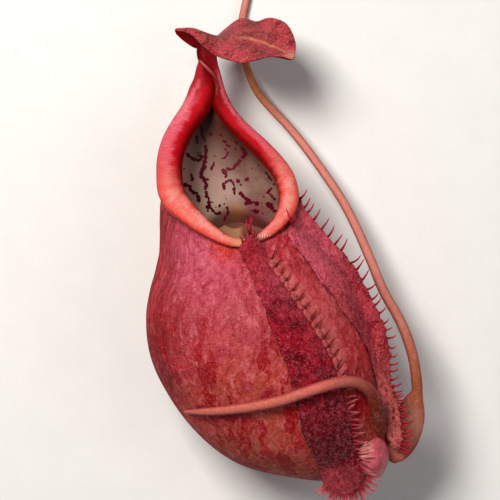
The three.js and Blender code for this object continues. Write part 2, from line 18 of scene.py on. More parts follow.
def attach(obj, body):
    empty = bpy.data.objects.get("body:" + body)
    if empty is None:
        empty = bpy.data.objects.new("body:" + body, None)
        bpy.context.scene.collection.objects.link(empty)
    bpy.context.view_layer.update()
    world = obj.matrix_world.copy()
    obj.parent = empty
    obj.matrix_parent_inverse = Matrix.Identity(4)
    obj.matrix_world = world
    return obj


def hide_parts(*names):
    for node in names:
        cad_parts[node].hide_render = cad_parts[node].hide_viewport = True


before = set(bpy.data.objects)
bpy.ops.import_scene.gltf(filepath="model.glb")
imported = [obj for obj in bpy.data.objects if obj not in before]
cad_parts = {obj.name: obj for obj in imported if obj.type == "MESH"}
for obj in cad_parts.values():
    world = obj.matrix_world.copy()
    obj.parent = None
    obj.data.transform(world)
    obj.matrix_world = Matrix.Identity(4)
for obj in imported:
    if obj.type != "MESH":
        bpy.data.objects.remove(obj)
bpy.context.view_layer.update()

# %% [markdown]
# ## From a sight line to a place
# Outline points are easiest to state as they are seen: millimetres right and up from the
# picture's middle on a plane 35 mm above the table, and a height. A point above the plane
# looks larger, so its true place is pulled towards the sight line. One short rule does that, and
# every piece uses it.

# %% Sight lines
MM = 0.001
EYE = Vector((-0.010496, -0.004397, 0.660))
OUTLINE_PLANE = 35


def seen(x, y, z):
    """The true place of a point that is seen at x, y and lies z mm above the table."""
    reach = (EYE.z / MM - z) / (EYE.z / MM - OUTLINE_PLANE)
    return Vector((EYE.x + x * reach * MM, EYE.y + y * reach * MM, z * MM))


print("the mouth's front edge lies at", seen(-0.3, 2.1, 53.5))

# %% [markdown]
# ## Camera, table and light
# The picture was taken square on, so the camera looks straight down. The light is a large soft
# panel from the upper left with a weaker one opposite, and an even sky for the rest. They add only
# a
# little shine: the one broad highlight along the collar is painted into its colour.

# %% Camera, table and light
camera = bpy.data.objects.new("camera", bpy.data.cameras.new("camera"))
bpy.context.collection.objects.link(camera)
camera.location = EYE
camera.data.lens, camera.data.sensor_width = 150, 36
bpy.context.scene.camera = camera


def panel_light(name, place, size, power, tint):
    """A square soft light at a place, which shines at the pitcher."""
    light = bpy.data.lights.new(name, "AREA")
    light.size = size
    light.energy = power
    light.color = tint
    lamp = bpy.data.objects.new(name, light)
    lamp.location = place
    lamp.rotation_mode = "QUATERNION"
    lamp.rotation_quaternion = (Vector((0, 0, 0.03)) - lamp.location).to_track_quat("-Z", "Y")
    bpy.context.collection.objects.link(lamp)
    return lamp


panel_light("key_light", Vector((-0.24, 0.26, 0.62)), 0.26, 6.2, (1.0, 0.97, 0.93))
panel_light("fill_light", Vector((0.45, -0.10, 0.55)), 0.50, 1.1, (0.97, 0.97, 1.0))
world = bpy.data.worlds.new("soft_sky")
world.use_nodes = True
world.node_tree.nodes["Background"].inputs["Color"].default_value = (0.9, 0.93, 1.0, 1)
world.node_tree.nodes["Background"].inputs["Strength"].default_value = 0.13
bpy.context.scene.world = world
bpy.context.scene.view_settings.view_transform = "Standard"
print("camera", tuple(round(value, 3) for value in camera.location), "lens", camera.data.lens)

# %% [markdown]
# ## Smooth lines through a few points
# Every outline here is a short list of points. A centripetal Catmull-Rom line runs through all
# of them without overshooting, which suits grown forms; it is the same rule that the solid
# model uses, so both have the same shape.

# %% Lines through points
def on_line(points, t, closed=False):
    """The point at t, from 0 to 1, of a smooth line through all the points."""
    count = len(points)
    place = (count if closed else count - 1) * t
    first = math.floor(place)
    if not closed:
        first = max(0, min(first, count - 2))
    weight = place - first
    b, c = points[first % count], points[(first + 1) % count]
    a = points[(first - 1) % count] if closed or first > 0 else 2 * b - c
    d = points[(first + 2) % count] if closed or first + 2 < count else 2 * c - b
    ab, bc, cd = (max((q - p).length, 1e-9) ** 0.5 for p, q in ((a, b), (b, c), (c, d)))
    leave = ((b - a) / ab - (c - a) / (ab + bc) + (c - b) / bc) * bc
    arrive = ((c - b) / bc - (d - b) / (bc + cd) + (d - c) / cd) * bc
    square, cube = weight ** 2, weight ** 3
    return (
        b * (2 * cube - 3 * square + 1)
        + leave * (cube - 2 * square + weight)
        + c * (3 * square - 2 * cube)
        + arrive * (cube - square)
    )


def along(values, t):
    """A number that runs smoothly through the values as t goes from 0 to 1."""
    return on_line([Vector((i, value)) for i, value in enumerate(values)], t).y


print("halfway along 0, 1, 4:", round(along([0, 1, 4], 0.5), 3))

# %% [markdown]
# ## One helper for skins
# Leaf, cup, collar and stem are all one sheet bent into shape. So a flat grid is made with its
# UV map, each vertex is moved to its place, and the seam and poles are merged. The UV map then
# follows the form: u goes round or across, v goes along, and veins and ribs can follow it.

# %% Skins
def new_piece(name, bm, *finishes):
    """Makes an object of a bmesh, smooth, with its material slots."""
    mesh = bpy.data.meshes.new(name)
    for face in bm.faces:
        face.smooth = True
    bm.to_mesh(mesh)
    bm.free()
    for finish in finishes:
        mesh.materials.append(finish)
    piece = bpy.data.objects.new(name, mesh)
    bpy.context.collection.objects.link(piece)
    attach(piece, "root")
    print(name, "has", len(mesh.polygons), "faces")
    return piece


def uv_mesh():
    """An empty bmesh that has a UV map."""
    bm = bmesh.new()
    bm.loops.layers.uv.verify()
    return bm


def bend_grid(bm, place, across, length):
    """Adds a grid of across x length faces and moves each vertex to place(u, v)."""
    grid = bmesh.ops.create_grid(
        bm, x_segments=across, y_segments=length, size=0.5, calc_uvs=True
    )["verts"]
    for vertex in grid:
        vertex.co = place(vertex.co.x + 0.5, vertex.co.y + 0.5)


def closed(bm):
    """The bmesh with its seams and poles merged and its faces outwards."""
    bmesh.ops.remove_doubles(bm, verts=bm.verts, dist=1e-6)
    bmesh.ops.recalc_face_normals(bm, faces=bm.faces)
    return bm


def skin(place, across, length):
    """A closed bmesh of one bent grid."""
    bm = uv_mesh()
    bend_grid(bm, place, across, length)
    return closed(bm)


def smooth_step(low, high, value):
    """0 below low, 1 above high, and a soft change between."""
    share = min(1.0, max(0.0, (value - low) / (high - low)))
    return share * share * (3 - 2 * share)


print("a quarter of the way up a soft step:", round(smooth_step(0, 1, 0.25), 3))

# %% [markdown]
# ## Finishes from nodes
# A living skin has colour at several scales: broad blushes, mottles, and a fuzz of pale specks.
# A small class keeps the node code short. Each call adds one node and returns its socket, so a
# finish reads from top to bottom like a recipe. Numbers that don't vary are set on the shader.

# %% The finish helper
def tone(red, green, blue):
    """A colour as it looks on a screen, from 0 to 255, as the shader wants it."""
    return tuple((v / 255 / 12.92 if v < 11 else ((v / 255 + 0.055) / 1.055) ** 2.4)
                 for v in (red, green, blue)) + (1.0,)


class Finish:
    """A material that is built node by node."""

    def __init__(self, name, **constants):
        self.material = bpy.data.materials.new(name)
        self.material.use_nodes = True
        self.tree = self.material.node_tree
        self.shader = self.tree.nodes["Principled BSDF"]
        for socket, value in constants.items():
            self.shader.inputs[socket.replace("_", " ")].default_value = value

    def add(self, kind, inputs=None, **settings):
        """Adds a node, and links or sets its inputs."""
        node = self.tree.nodes.new(kind)
        for key, value in settings.items():
            setattr(node, key, value)
        for key, value in (inputs or {}).items():
            if isinstance(value, bpy.types.NodeSocket):
                self.tree.links.new(value, node.inputs[key])
            else:
                node.inputs[key].default_value = value
        return node

    def where(self, kind="Object", scale=(1, 1, 1), turn=(0, 0, 0)):
        """Object or UV coordinates, scaled and turned."""
        source = self.add("ShaderNodeTexCoord").outputs[kind]
        inputs = {"Vector": source, "Scale": scale, "Rotation": turn}
        return self.add("ShaderNodeMapping", inputs).outputs["Vector"]

    def noise(self, vector, scale, detail=3.0, rough=0.5, warp=0.0):
        inputs = {"Vector": vector, "Scale": scale, "Detail": detail, "Roughness": rough,
                  "Distortion": warp}
        return self.add("ShaderNodeTexNoise", inputs).outputs["Fac"]

    def cells(self, vector, scale, feature="F1"):
        inputs = {"Vector": vector, "Scale": scale}
        return self.add("ShaderNodeTexVoronoi", inputs, feature=feature).outputs["Distance"]

    def warped(self, vector, scale, amount):
        """The coordinates pushed about by a noise, so that a pattern loses its straight lines."""
        inputs = {"Vector": vector, "Scale": scale, "Detail": 2.0}
        push = self.add("ShaderNodeTexNoise", inputs).outputs["Color"]
        push = self.vector("SUBTRACT", push, (0.5, 0.5, 0.5))
        push = self.add("ShaderNodeVectorMath", {0: push, "Scale": amount}, operation="SCALE")
        return self.vector("ADD", vector, push.outputs["Vector"])

    def vector(self, operation, a, b):
        return self.add("ShaderNodeVectorMath", {0: a, 1: b}, operation=operation).outputs["Vector"]

    def maths(self, operation, a, b=0.0):
        return self.add("ShaderNodeMath", {0: a, 1: b}, operation=operation).outputs["Value"]

    def times(self, a, b):
        return self.maths("MULTIPLY", a, b)

    def plus(self, a, b):
        return self.maths("ADD", a, b)

    def apart(self, value, number):
        """How far a value is from a number, on either side."""
        return self.maths("ABSOLUTE", self.maths("SUBTRACT", value, number))

    def part(self, vector, axis):
        """One coordinate of a vector."""
        return self.add("ShaderNodeSeparateXYZ", {"Vector": vector}).outputs[axis]

    def uv(self, axis):
        """u, which is X, or v, which is Y."""
        return self.part(self.where("UV"), axis)

    def between(self, value, low, high, first=0.0, last=1.0):
        """first below low, last above high, and a soft change between."""
        inputs = {"Value": value, "From Min": low, "From Max": high, "To Min": first,
                  "To Max": last}
        node = self.add("ShaderNodeMapRange", inputs, interpolation_type="SMOOTHSTEP")
        return node.outputs["Result"]

    def near(self, place, radius, soft=0.9):
        """1 round a place and 0 beyond the radius, in the object's own metres."""
        source = self.where()
        gap = self.add("ShaderNodeVectorMath", {0: source, 1: place}, operation="DISTANCE")
        return self.between(gap.outputs["Value"], radius * (1 - soft), radius, 1.0, 0.0)

    def mix(self, share, under, over, blend="MIX"):
        node = self.tree.nodes.new("ShaderNodeMix")
        node.data_type = "RGBA"
        node.blend_type = blend
        for socket, value in ((node.inputs[0], share), (node.inputs[6], under),
                              (node.inputs[7], over)):
            if isinstance(value, bpy.types.NodeSocket):
                self.tree.links.new(value, socket)
            else:
                socket.default_value = value
        return node.outputs[2]

    def lay(self, colour, amount, share, over):
        """The colour with another laid over it, as far as amount times share."""
        return self.mix(self.times(amount, share), colour, over)

    def patch(self, colour, place, radius, share, over, soft=0.9):
        """The colour with a soft, round patch of another laid over a place."""
        return self.lay(colour, self.near(place, radius, soft), share, over)

    def grain(self, colour, dark, pale, scale=1900.0, share=0.6):
        """A fine felt of dark and pale over a colour; returns the colour and its height."""
        felt = self.noise(self.where(), scale, 6.0, 0.75)
        coarse = self.noise(self.where(), scale * 0.35, 3.0, 0.6)
        height = self.plus(self.times(felt, 0.75), self.times(coarse, 0.25))
        colour = self.mix(self.between(height, 0.50, 0.40, 0.0, share), colour, dark)
        return self.mix(self.between(height, 0.49, 0.62, 0.0, share), colour, pale), height

    def finish(self, colour, roughness=None, *bumps):
        """Joins colour, roughness and bumps to the shader; a bump is a height and its metres."""
        self.tree.links.new(colour, self.shader.inputs["Base Color"])
        if roughness:
            self.tree.links.new(roughness, self.shader.inputs["Roughness"])
        normal = {}
        for height, distance in bumps:
            inputs = {"Height": height, "Distance": distance, **normal}
            normal = {"Normal": self.add("ShaderNodeBump", inputs).outputs["Normal"]}
        if normal:
            self.tree.links.new(normal["Normal"], self.shader.inputs["Normal"])
        return self.material


print("a mid red in the shader's numbers:", tuple(round(v, 3) for v in tone(175, 70, 72)))

# %% [markdown]
# ## The table
# A plain pale surface under the pitcher, which belongs to the picture and not to the object.

# %% The table
floor_finish = Finish("pale_table", Roughness=0.8)
grain = floor_finish.noise(floor_finish.where("Object"), 90.0, 4.0)
floor_colour = floor_finish.mix(grain, tone(220, 218, 214), tone(228, 226, 222))
bm = bmesh.new()
bmesh.ops.create_grid(bm, x_segments=1, y_segments=1, size=2.0)
table = new_piece("table", bm, floor_finish.finish(floor_colour))

# %% [markdown]
# ## The skin of the cup
# The real skin is a pinkish red leaf, with a purple sheen painted on its shoulders. It turns orange
# and olive low on the belly, carries deep red streaks and blotches, and a short pale fuzz lies over
# all of it. The folds under the collar get painted shade along their bottoms and painted light on
# their tops. The layers go on in that order, from the broadest to the finest.

# %% The cup's skin
def cup_skin():
    """The outer skin of the cup."""
    f = Finish("cup_skin", Specular_IOR_Level=0.05,
               Subsurface_Weight=0.05, Subsurface_Scale=0.003)
    f.shader.inputs["Subsurface Radius"].default_value = (1.0, 0.2, 0.12)
    place = f.where()
    broad = f.noise(f.warped(place, 40.0, 0.02), 60.0, 4.0, 0.6)
    colour = f.mix(f.between(broad, 0.36, 0.62), tone(122, 2, 12), tone(180, 26, 36))
    # pink on the front, and a purple painted sheen on the shoulder
    colour = f.patch(colour, seen(-5, -20, 60), 0.036, 0.70, tone(180, 76, 90))
    colour = f.patch(colour, seen(-15, 2, 50), 0.028, f.between(broad, 0.35, 0.6, 0.5, 1.0),
                     tone(188, 80, 106))
    # tan and olive mottles low on the belly
    low = f.near(seen(4, -54, 50), 0.046, 0.85)
    mottle = f.noise(f.warped(f.where("Object", (1.0, 0.6, 0.8)), 120.0, 0.006), 190.0, 4.0, 0.65)
    colour = f.lay(colour, f.between(mottle, 0.40, 0.50), f.between(low, 0.0, 1.0, 0.08, 0.9),
                   tone(178, 72, 56))
    olive = f.times(f.near(seen(0, -62, 38), 0.026), f.between(mottle, 0.48, 0.56))
    colour = f.lay(colour, olive, 0.7, tone(140, 88, 44))
    # salmon between the wings, brown painted shade where the stem bends in, a glow under the
    # collar's front
    colour = f.patch(colour, seen(21, -18, 54), 0.024, 0.8, tone(200, 82, 84))
    colour = f.patch(colour, seen(38.5, -49, 42), 0.013, 0.8, tone(140, 56, 24))
    colour = f.patch(colour, seen(-6.5, 1.2, 51), 0.009, 0.85, tone(196, 46, 14))
    # the folds on the left flank: painted shade in their bottoms, painted light on their tops
    strand = f.noise(f.warped(f.where("UV", (74.0, 4.0, 1.0)), 2.0, 0.8), 1.0, 4.0, 0.65)
    flank = f.between(f.part(place, "X"), -0.027, -0.037)
    folds = f.times(f.between(strand, 0.52, 0.42), flank)
    colour = f.lay(colour, folds, 0.6, tone(112, 0, 8))
    lit_fold_tops = f.times(f.between(strand, 0.55, 0.66), flank)
    colour = f.lay(colour, lit_fold_tops, 0.35, tone(200, 48, 52))
    # two nets of veins, then pale and dark wisps, then blotches
    net = f.cells(f.warped(place, 260.0, 0.004), 200.0, "DISTANCE_TO_EDGE")
    fine = f.cells(f.warped(place, 500.0, 0.002), 620.0, "DISTANCE_TO_EDGE")
    colour = f.mix(f.between(net, 0.06, 0.0, 0.0, 0.4), colour, tone(132, 0, 14))
    colour = f.mix(f.between(fine, 0.10, 0.0, 0.0, 0.16), colour, tone(112, 4, 14))
    slant = f.warped(f.where("Object", (1.0, 0.5, 1.0), (0, 0, -0.6)), 300.0, 0.004)
    wisps = f.noise(slant, 520.0, 4.0, 0.7)
    colour = f.lay(colour, f.between(wisps, 0.50, 0.66, 0.0, 0.45),
                   f.between(flank, 0.0, 1.0, 1.0, 0.4), tone(222, 122, 132))
    colour = f.mix(f.between(wisps, 0.48, 0.34, 0.0, 0.5), colour, tone(124, 4, 18))
    drawn_out = f.warped(f.where("Object", (1.0, 0.36, 0.7), (0, 0, 0.25)), 130.0, 0.009)
    blotch = f.noise(drawn_out, 150.0, 4.0, 0.62)
    colour = f.lay(colour, f.between(blotch, 0.53, 0.57),
                   f.between(f.part(place, "Y"), -0.018, -0.040, 0.3, 0.9), tone(142, 2, 8))
    colour, felt = f.grain(colour, tone(110, 0, 12), tone(226, 112, 114), 2300.0, 0.40)
    rough = f.between(mottle, 0.3, 0.7, 0.50, 0.66)
    return f.finish(colour, rough,
                    (folds, -0.0005), (broad, 0.0018), (wisps, 0.0006), (felt, 0.0004))


cup_skin_finish = cup_skin()
print("finish:", cup_skin_finish.name)

# %% [markdown]
# ## The strands of the collar
# The collar is the cup's lip, rolled outwards into a glossy tube. It is seen as two strands that
# leave the neck together and meet at the front. Each point gives x, y, height and half width.
# The cup's own rim is set into its underside, so the strands come first and the rim is found
# from them.

# %% The collar's lines
LEFT_STRAND = [
    (-14.3, 57.6, 18, 0.9), (-14.1, 54.3, 18.8, 2.2), (-13.8, 51, 19.2, 3.4),
    (-14.3, 47.4, 19.4, 4.3), (-16.3, 42.6, 20.5, 4.3), (-19.8, 37.5, 23.5, 4.1),
    (-22.5, 32.4, 28, 4.1),
    (-23.9, 27.6, 32, 4.0), (-24.2, 22.2, 37, 3.9), (-23.6, 17.7, 41.5, 4.0),
    (-21.9, 14.2, 44.5, 3.95), (-18.7, 11.0, 47.5, 3.4), (-14.6, 7.5, 50, 2.75),
    (-9.9, 4.4, 52, 2.1), (-6.3, 2.7, 53, 1.7), (-2.7, 2.1, 53.5, 1.4), (-0.3, 2.3, 53.5, 1.3),
]
RIGHT_STRAND = [
    (-13.3, 63.0, 20.3, 2.6), (-12.8, 58.0, 20.2, 3.1), (-10.8, 53.7, 20, 1.8),
    (-9.7, 48.6, 19.2, 2.1), (-8.6, 43.8, 20.5, 2.9), (-5.6, 39.3, 24, 2.8),
    (-1.5, 35.1, 27.5, 2.9), (2.7, 31.2, 31, 3.0),
    (6.6, 27, 35, 3.1), (9.8, 22.8, 39, 3.1), (11.2, 18.9, 42.5, 3.1), (11.6, 15, 45.5, 3.0),
    (10.6, 11.2, 48, 2.65), (8.4, 8.05, 50, 2.1), (5.3, 5.2, 51.5, 1.75), (2.7, 3.7, 52.8, 1.3),
    (-0.9, 2.5, 53.4, 1.1),
]
NECK_POINTS = 4  # of each strand, which run up the neck and not round the mouth
NECK_BACK = (-12.3, 47, 19.2, 3.0)
MOUTH_NORMAL = Vector((0, 0.61, 0.79)).normalized()
COLLAR_FLATNESS = 0.62  # thickness of the roll over its width
RIM_SUNK = 0.35  # how deep the cup's rim is set into the collar, in mm

RIM = [
    seen(x, y, z) - MOUTH_NORMAL * (half * COLLAR_FLATNESS - RIM_SUNK) * MM
    for x, y, z, half in
    (*RIGHT_STRAND[NECK_POINTS:][::-1], NECK_BACK, *LEFT_STRAND[NECK_POINTS:-2])
]
print("the rim runs through", len(RIM), "points")

# %% [markdown]
# ## The cup
# Below the rim the cup is given by rings, each by its left, right, front and back points. The
# belly swells, leans to the right and ends in the base. One sheet makes the whole cup: it starts
# at the bottom of the hollow, climbs the inner wall, turns over the lip and goes down the
# outside. The outside gets the folds that the leaf draws up under the collar.

# %% The cup's walls
CUP_STATIONS = [
    ((-26.9, 9, 33), (14.1, 13.5, 38), (-2.7, -0.9, 53), (-10.5, 34.5, 13.5)),
    ((-27.4, -2.4, 31), (21.6, 4.5, 34), (-1.2, -4.8, 56), (-6.6, 17, 11.7)),
    ((-30.3, -12, 31), (28.5, -4.5, 31), (0.3, -11.4, 58.5), (-2.4, 1.5, 5.6)),
    ((-31.4, -21, 30.2), (33.6, -15, 31), (1.8, -20.4, 60.5), (3, -14, -0.8)),
    ((-29.9, -32, 30), (37.2, -25.5, 30.5), (3.9, -30, 60.5), (5.5, -26, -0.5)),
    ((-24.8, -43.3, 30), (39.3, -35.4, 31), (8.1, -40.5, 59), (9, -40.5, 1)),
    ((-17.8, -53.2, 31), (40.2, -44.1, 32), (13.8, -48.9, 56), (15, -51, 5.5)),
    ((-4.8, -63.6, 32), (40.8, -52.2, 33), (20.4, -57.3, 52), (21.9, -60, 12)),
    ((13.5, -68.4, 33.5), (41.4, -58.2, 34), (28.5, -61.8, 47), (29.4, -65.4, 20)),
    ((27, -69.4, 34), (41.5, -62.6, 34), (34.6, -65.1, 42), (35.4, -67.2, 26)),
    ((33.2, -70, 34), (39.8, -66.9, 34), (36.6, -67.6, 38), (36.9, -68.8, 30)),
]
CUP_WALL = 1.6
LIP_WALL = 1.0  # the wall's thickness at the rim, both in mm
HOLLOW_END = 0.83  # how far down the cup its hollow ends, as a share
LIP = 0.42  # the place of the rim on the sheet, as a share of its length
LIP_TURN = 0.02  # the share just before it that turns over the rim
LIP_ROUND = 0.1  # how far the rim's edge swells, in mm
FOLDS, FOLD_DEPTH = 34, 0.35
DENT_DEPTH = 0.35
columns = {}
middles = {}


def cup_column(turn):
    """The points of one line down the cup; turn 0 is the front and 0.25 the right."""
    key = round(turn, 5)
    if key not in columns:
        cos, sin = math.cos(2 * math.pi * turn), math.sin(2 * math.pi * turn)
        line = [on_line(RIM, turn % 1.0, closed=True)]
        for left, right, front, back in CUP_STATIONS:
            l, r, f, b = seen(*left), seen(*right), seen(*front), seen(*back)
            middle = (f + b) / 2
            shift = (l + r) / 2 - middle
            line.append(middle + (f - b) / 2 * cos + (r - l) / 2 * sin + shift * sin ** 2)
        columns[key] = line
    return columns[key]


def cup_middle(t):
    """The middle of the cup's ring at t."""
    key = round(t, 5)
    if key not in middles:
        ring = [on_line(cup_column(i / 16), t) for i in range(16)]
        middles[key] = sum(ring, Vector()) / len(ring)
    return middles[key]


def cup_wall(turn, t, growth):
    """A point of the cup's skin at turn and t, moved outwards by growth in mm."""
    point = on_line(cup_column(turn), t)
    point.z = max(point.z, 0.0)
    arm = point - cup_middle(t)
    return point + arm.normalized() * growth * MM


def cup_relief(turn, t):
    """How far the outer skin stands in or out, in mm: folds under the collar, soft dents below."""
    shoulder = smooth_step(0.02, 0.09, t) * smooth_step(0.40, 0.16, t)
    side = math.exp(-(((turn - 0.76) / 0.13) ** 2))
    wander = 1.2 * noise.noise(Vector((turn * 9, t * 6, 0)))
    wave = math.sin(2 * math.pi * (turn * FOLDS + wander))
    folds = -FOLD_DEPTH * shoulder * side * (0.5 + 0.5 * wave)
    angle = 2 * math.pi * turn
    dents = DENT_DEPTH * noise.noise(Vector((6 * math.sin(angle), 6 * math.cos(angle), 9 * t)))
    return folds + (dents - 0.25) * smooth_step(0.03, 0.14, t) * smooth_step(1.0, 0.9, t)


def cup_sheet(u, v):
    """u goes round the cup; v climbs the inner wall up to the lip and then goes down outside."""
    if v < LIP - LIP_TURN:
        t = HOLLOW_END * (1 - v / (LIP - LIP_TURN))
        point = cup_wall(u, t, -LIP_WALL - (CUP_WALL - LIP_WALL) * smooth_step(0, 0.04, t))
        return cup_middle(t) if v < 1e-6 else point
    if v < LIP:
        turn_over = math.pi * (v - LIP + LIP_TURN) / LIP_TURN
        inward = -LIP_WALL * (0.5 + 0.5 * math.cos(turn_over))
        return cup_wall(u, 0, inward) + MOUTH_NORMAL * LIP_ROUND * math.sin(turn_over) * MM
    t = (v - LIP) / (1 - LIP)
    return cup_middle(1.0) if v > 1 - 1e-6 else cup_wall(u, t, cup_relief(u, t))


bm = skin(cup_sheet, 144, 250)
uv_layer = bm.loops.layers.uv.active
for face in bm.faces:
    heights = [loop[uv_layer].uv.y for loop in face.loops]
    face.material_index = 1 if sum(heights) / len(heights) < LIP - 0.004 else 0
cup_tree = BVHTree.FromBMesh(bm)
print("the cup has", sum(face.material_index for face in bm.faces), "faces on its inner wall")

# %% [markdown]
# ## The throat's lining
# Inside, the wall is waxy and paler. It is beige-grey and mauve above the fluid, with brown painted
# shade under the neck, painted light on its left side and at the heel, and a band of painted shade
# just over the fluid. Each patch is placed where it is seen: a ray from the eye finds its place on
# the wall.

# %% The throat's lining
SKIN_CLEARANCE = 0.06  # mm by which what is laid on the wall stands off it


def to_wall(x, y):
    """Where the sight line to x, y meets the cup, a hair's breadth nearer to the eye."""
    aim = (seen(x, y, OUTLINE_PLANE) - EYE).normalized()
    hit = cup_tree.ray_cast(EYE, aim)[0]
    return hit - aim * SKIN_CLEARANCE * MM if hit else seen(x, y, 10)


def throat_lining():
    """The waxy inner wall of the cup."""
    f = Finish("throat_lining", Specular_IOR_Level=0.12, Subsurface_Weight=0.05,
               Subsurface_Scale=0.003)
    place = f.where()
    cloud = f.noise(place, 260.0, 5.0, 0.65)
    colour = f.mix(f.between(cloud, 0.3, 0.7), tone(124, 90, 76), tone(152, 116, 102))
    # painted shade: darker towards the back, under the neck
    colour = f.lay(colour, f.between(f.part(place, "Y"), 0.010, 0.028), 0.6, tone(78, 48, 40))
    # painted light: paler towards the left wall
    colour = f.lay(colour, f.between(f.part(place, "X"), -0.012, -0.034), 0.95,
                   tone(222, 180, 162))
    # brown painted shade under the neck, mauve at the sill, painted light at the heel, two light
    # streaks
    colour = f.patch(colour, to_wall(-11, 41), 0.026, 0.9, tone(66, 20, 6))
    colour = f.patch(colour, to_wall(1.0, 8.8), 0.012, f.between(cloud, 0.35, 0.6, 0.5, 1.0),
                     tone(134, 70, 76), 0.85)
    colour = f.patch(colour, to_wall(-13.5, 10.5), 0.010, 0.9, tone(236, 200, 172))
    colour = f.patch(colour, to_wall(-4.6, 11.0), 0.005, 0.8, tone(204, 148, 70), 0.95)
    colour = f.patch(colour, to_wall(-6.5, 17), 0.009, 0.5, tone(190, 164, 150), 0.95)
    # painted shade in a band just above the fluid
    colour = f.lay(colour, f.between(f.part(place, "Z"), 0.0128, 0.0112), 0.85, tone(84, 30, 26))
    return f.finish(colour, f.between(cloud, 0.3, 0.7, 0.4, 0.55), (cloud, 0.0002))


cup = new_piece("cup", bm, cup_skin_finish, throat_lining())
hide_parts("pitcher_cup")

# %% [markdown]
# ## The dashes in the throat
# Dark wine dashes run in chains down the inner wall. Each chain is a width and a line of points
# as they are seen; round blots of changing size are laid along it, so that they run together in
# places and break apart in others, as the real ones do. Every corner of a blot is dropped onto
# the wall along its own sight line, so that it lies on the curve of the throat.

# %% The dashes in the throat
CHAINS = [
    (0.67, [(-14.8, 37.0), (-14.3, 36.0), (-14.7, 35.0)]), (0.87, [(-11.8, 34.6)]),
    (0.83, [(-15.9, 34.0), (-16.0, 32.3)]), (0.73, [(-14.2, 34.3), (-13.5, 32.7)]),
    (1.13, [(-13.2, 31.3), (-13.0, 29.7), (-13.2, 28.0), (-13.6, 26.3), (-13.8, 24.7),
            (-14.5, 23.7), (-14.7, 22.3), (-13.8, 21.0), (-13.2, 19.7), (-13.2, 18.7),
            (-13.0, 17.0), (-12.5, 15.3), (-12.3, 13.7), (-12.7, 12.0)]),
    (0.87, [(-12.7, 21.3)]),
    (1.00, [(-19.0, 28.7), (-18.0, 28.0), (-17.0, 27.2), (-15.8, 26.8), (-14.7, 27.3),
            (-14.5, 28.0)]),
    (0.47, [(-15.5, 29.3), (-15.8, 28.2)]), (0.47, [(-14.7, 29.2)]),
    (0.93, [(-17.7, 22.3), (-17.2, 21.2)]),
    (1.13, [(-19.5, 19.7), (-18.3, 19.3), (-17.7, 18.0), (-16.8, 17.3)]),
    (1.07, [(-15.8, 17.0), (-15.3, 15.7), (-15.2, 14.7)]), (0.57, [(-10.7, 28.2)]),
    (0.73, [(-10.8, 26.3), (-11.2, 25.0), (-11.7, 24.2)]), (0.60, [(-9.3, 34.7), (-8.2, 34.2)]),
    (0.73, [(-8.3, 36.8)]), (0.87, [(-7.8, 32.8), (-7.0, 31.8), (-6.3, 31.2)]),
    (0.80, [(-7.3, 30.3), (-6.8, 29.2), (-7.3, 28.0), (-8.2, 27.5)]), (0.60, [(-5.8, 33.3)]),
    (0.67, [(-4.7, 32.7), (-3.7, 31.8)]), (0.80, [(-4.5, 30.2)]),
    (0.83, [(-2.8, 30.7), (-1.7, 30.0)]), (1.47, [(-1.5, 29.0), (-1.8, 27.7)]),
    (1.20, [(-2.8, 26.7), (-4.0, 25.7), (-4.7, 25.0), (-5.7, 24.0), (-6.3, 24.3)]),
    (1.13, [(-8.0, 24.2), (-7.7, 23.3), (-7.0, 22.2)]),
    (0.87, [(-7.7, 18.3), (-8.0, 19.3), (-7.3, 20.3), (-6.3, 20.8), (-5.2, 20.3),
            (-4.8, 18.7), (-4.5, 16.7)]),
    (1.13, [(-3.7, 20.5)]), (0.53, [(-2.7, 19.7)]), (1.13, [(-0.7, 21.5), (-1.0, 21.2)]),
    (0.40, [(-7.5, 16.3)]), (0.33, [(-7.2, 15.3)]), (0.67, [(-7.7, 13.8)]), (0.80, [(-9.1, 13.2)]),
    (0.40, [(-10.2, 12.8)]), (0.60, [(-11.3, 14.3)]),
    (0.80, [(-11.8, 13.0), (-10.7, 11.5), (-10.0, 10.8), (-9.0, 11.0)]),
    (0.87, [(-6.8, 12.7), (-6.7, 11.3), (-7.3, 9.7), (-7.8, 9.2)]),
    (1.20, [(-3.0, 17.2), (-2.0, 16.3), (-1.0, 15.3), (-0.2, 14.3)]),
    (1.20, [(-1.0, 14.0), (0.7, 14.2), (2.0, 14.0)]), (0.53, [(0.5, 24.5)]), (0.53, [(2.6, 25.3)]),
    (0.67, [(4.7, 23.3), (5.7, 22.0), (6.3, 21.0)]), (0.53, [(4.7, 21.2)]),
    (0.87, [(6.3, 18.3), (5.3, 17.3)]), (0.67, [(5.7, 17.0), (6.7, 16.0), (7.5, 15.2)]),
    (0.73, [(4.0, 16.0)]), (1.33, [(5.0, 14.0), (6.3, 13.0), (7.2, 11.7)]), (0.47, [(3.5, 14.2)]),
    (1.13, [(1.3, 11.7), (2.3, 11.5)]), (0.60, [(3.7, 11.0)]), (0.53, [(-19.7, 24.3)]),
    (0.53, [(-15.8, 11.8)]), (0.73, [(7.3, 19.8)]), (0.40, [(-18.2, 31.7)]), (0.67, [(0.3, 12.0)]),
]


def wine_blot():
    f = Finish("wine_blot", Specular_IOR_Level=0.12, Roughness=0.5)
    cloud = f.noise(f.where(), 900.0, 3.0)
    colour = f.mix(cloud, tone(76, 0, 16), tone(106, 10, 36))
    return f.finish(colour, None, (cloud, 0.0001))


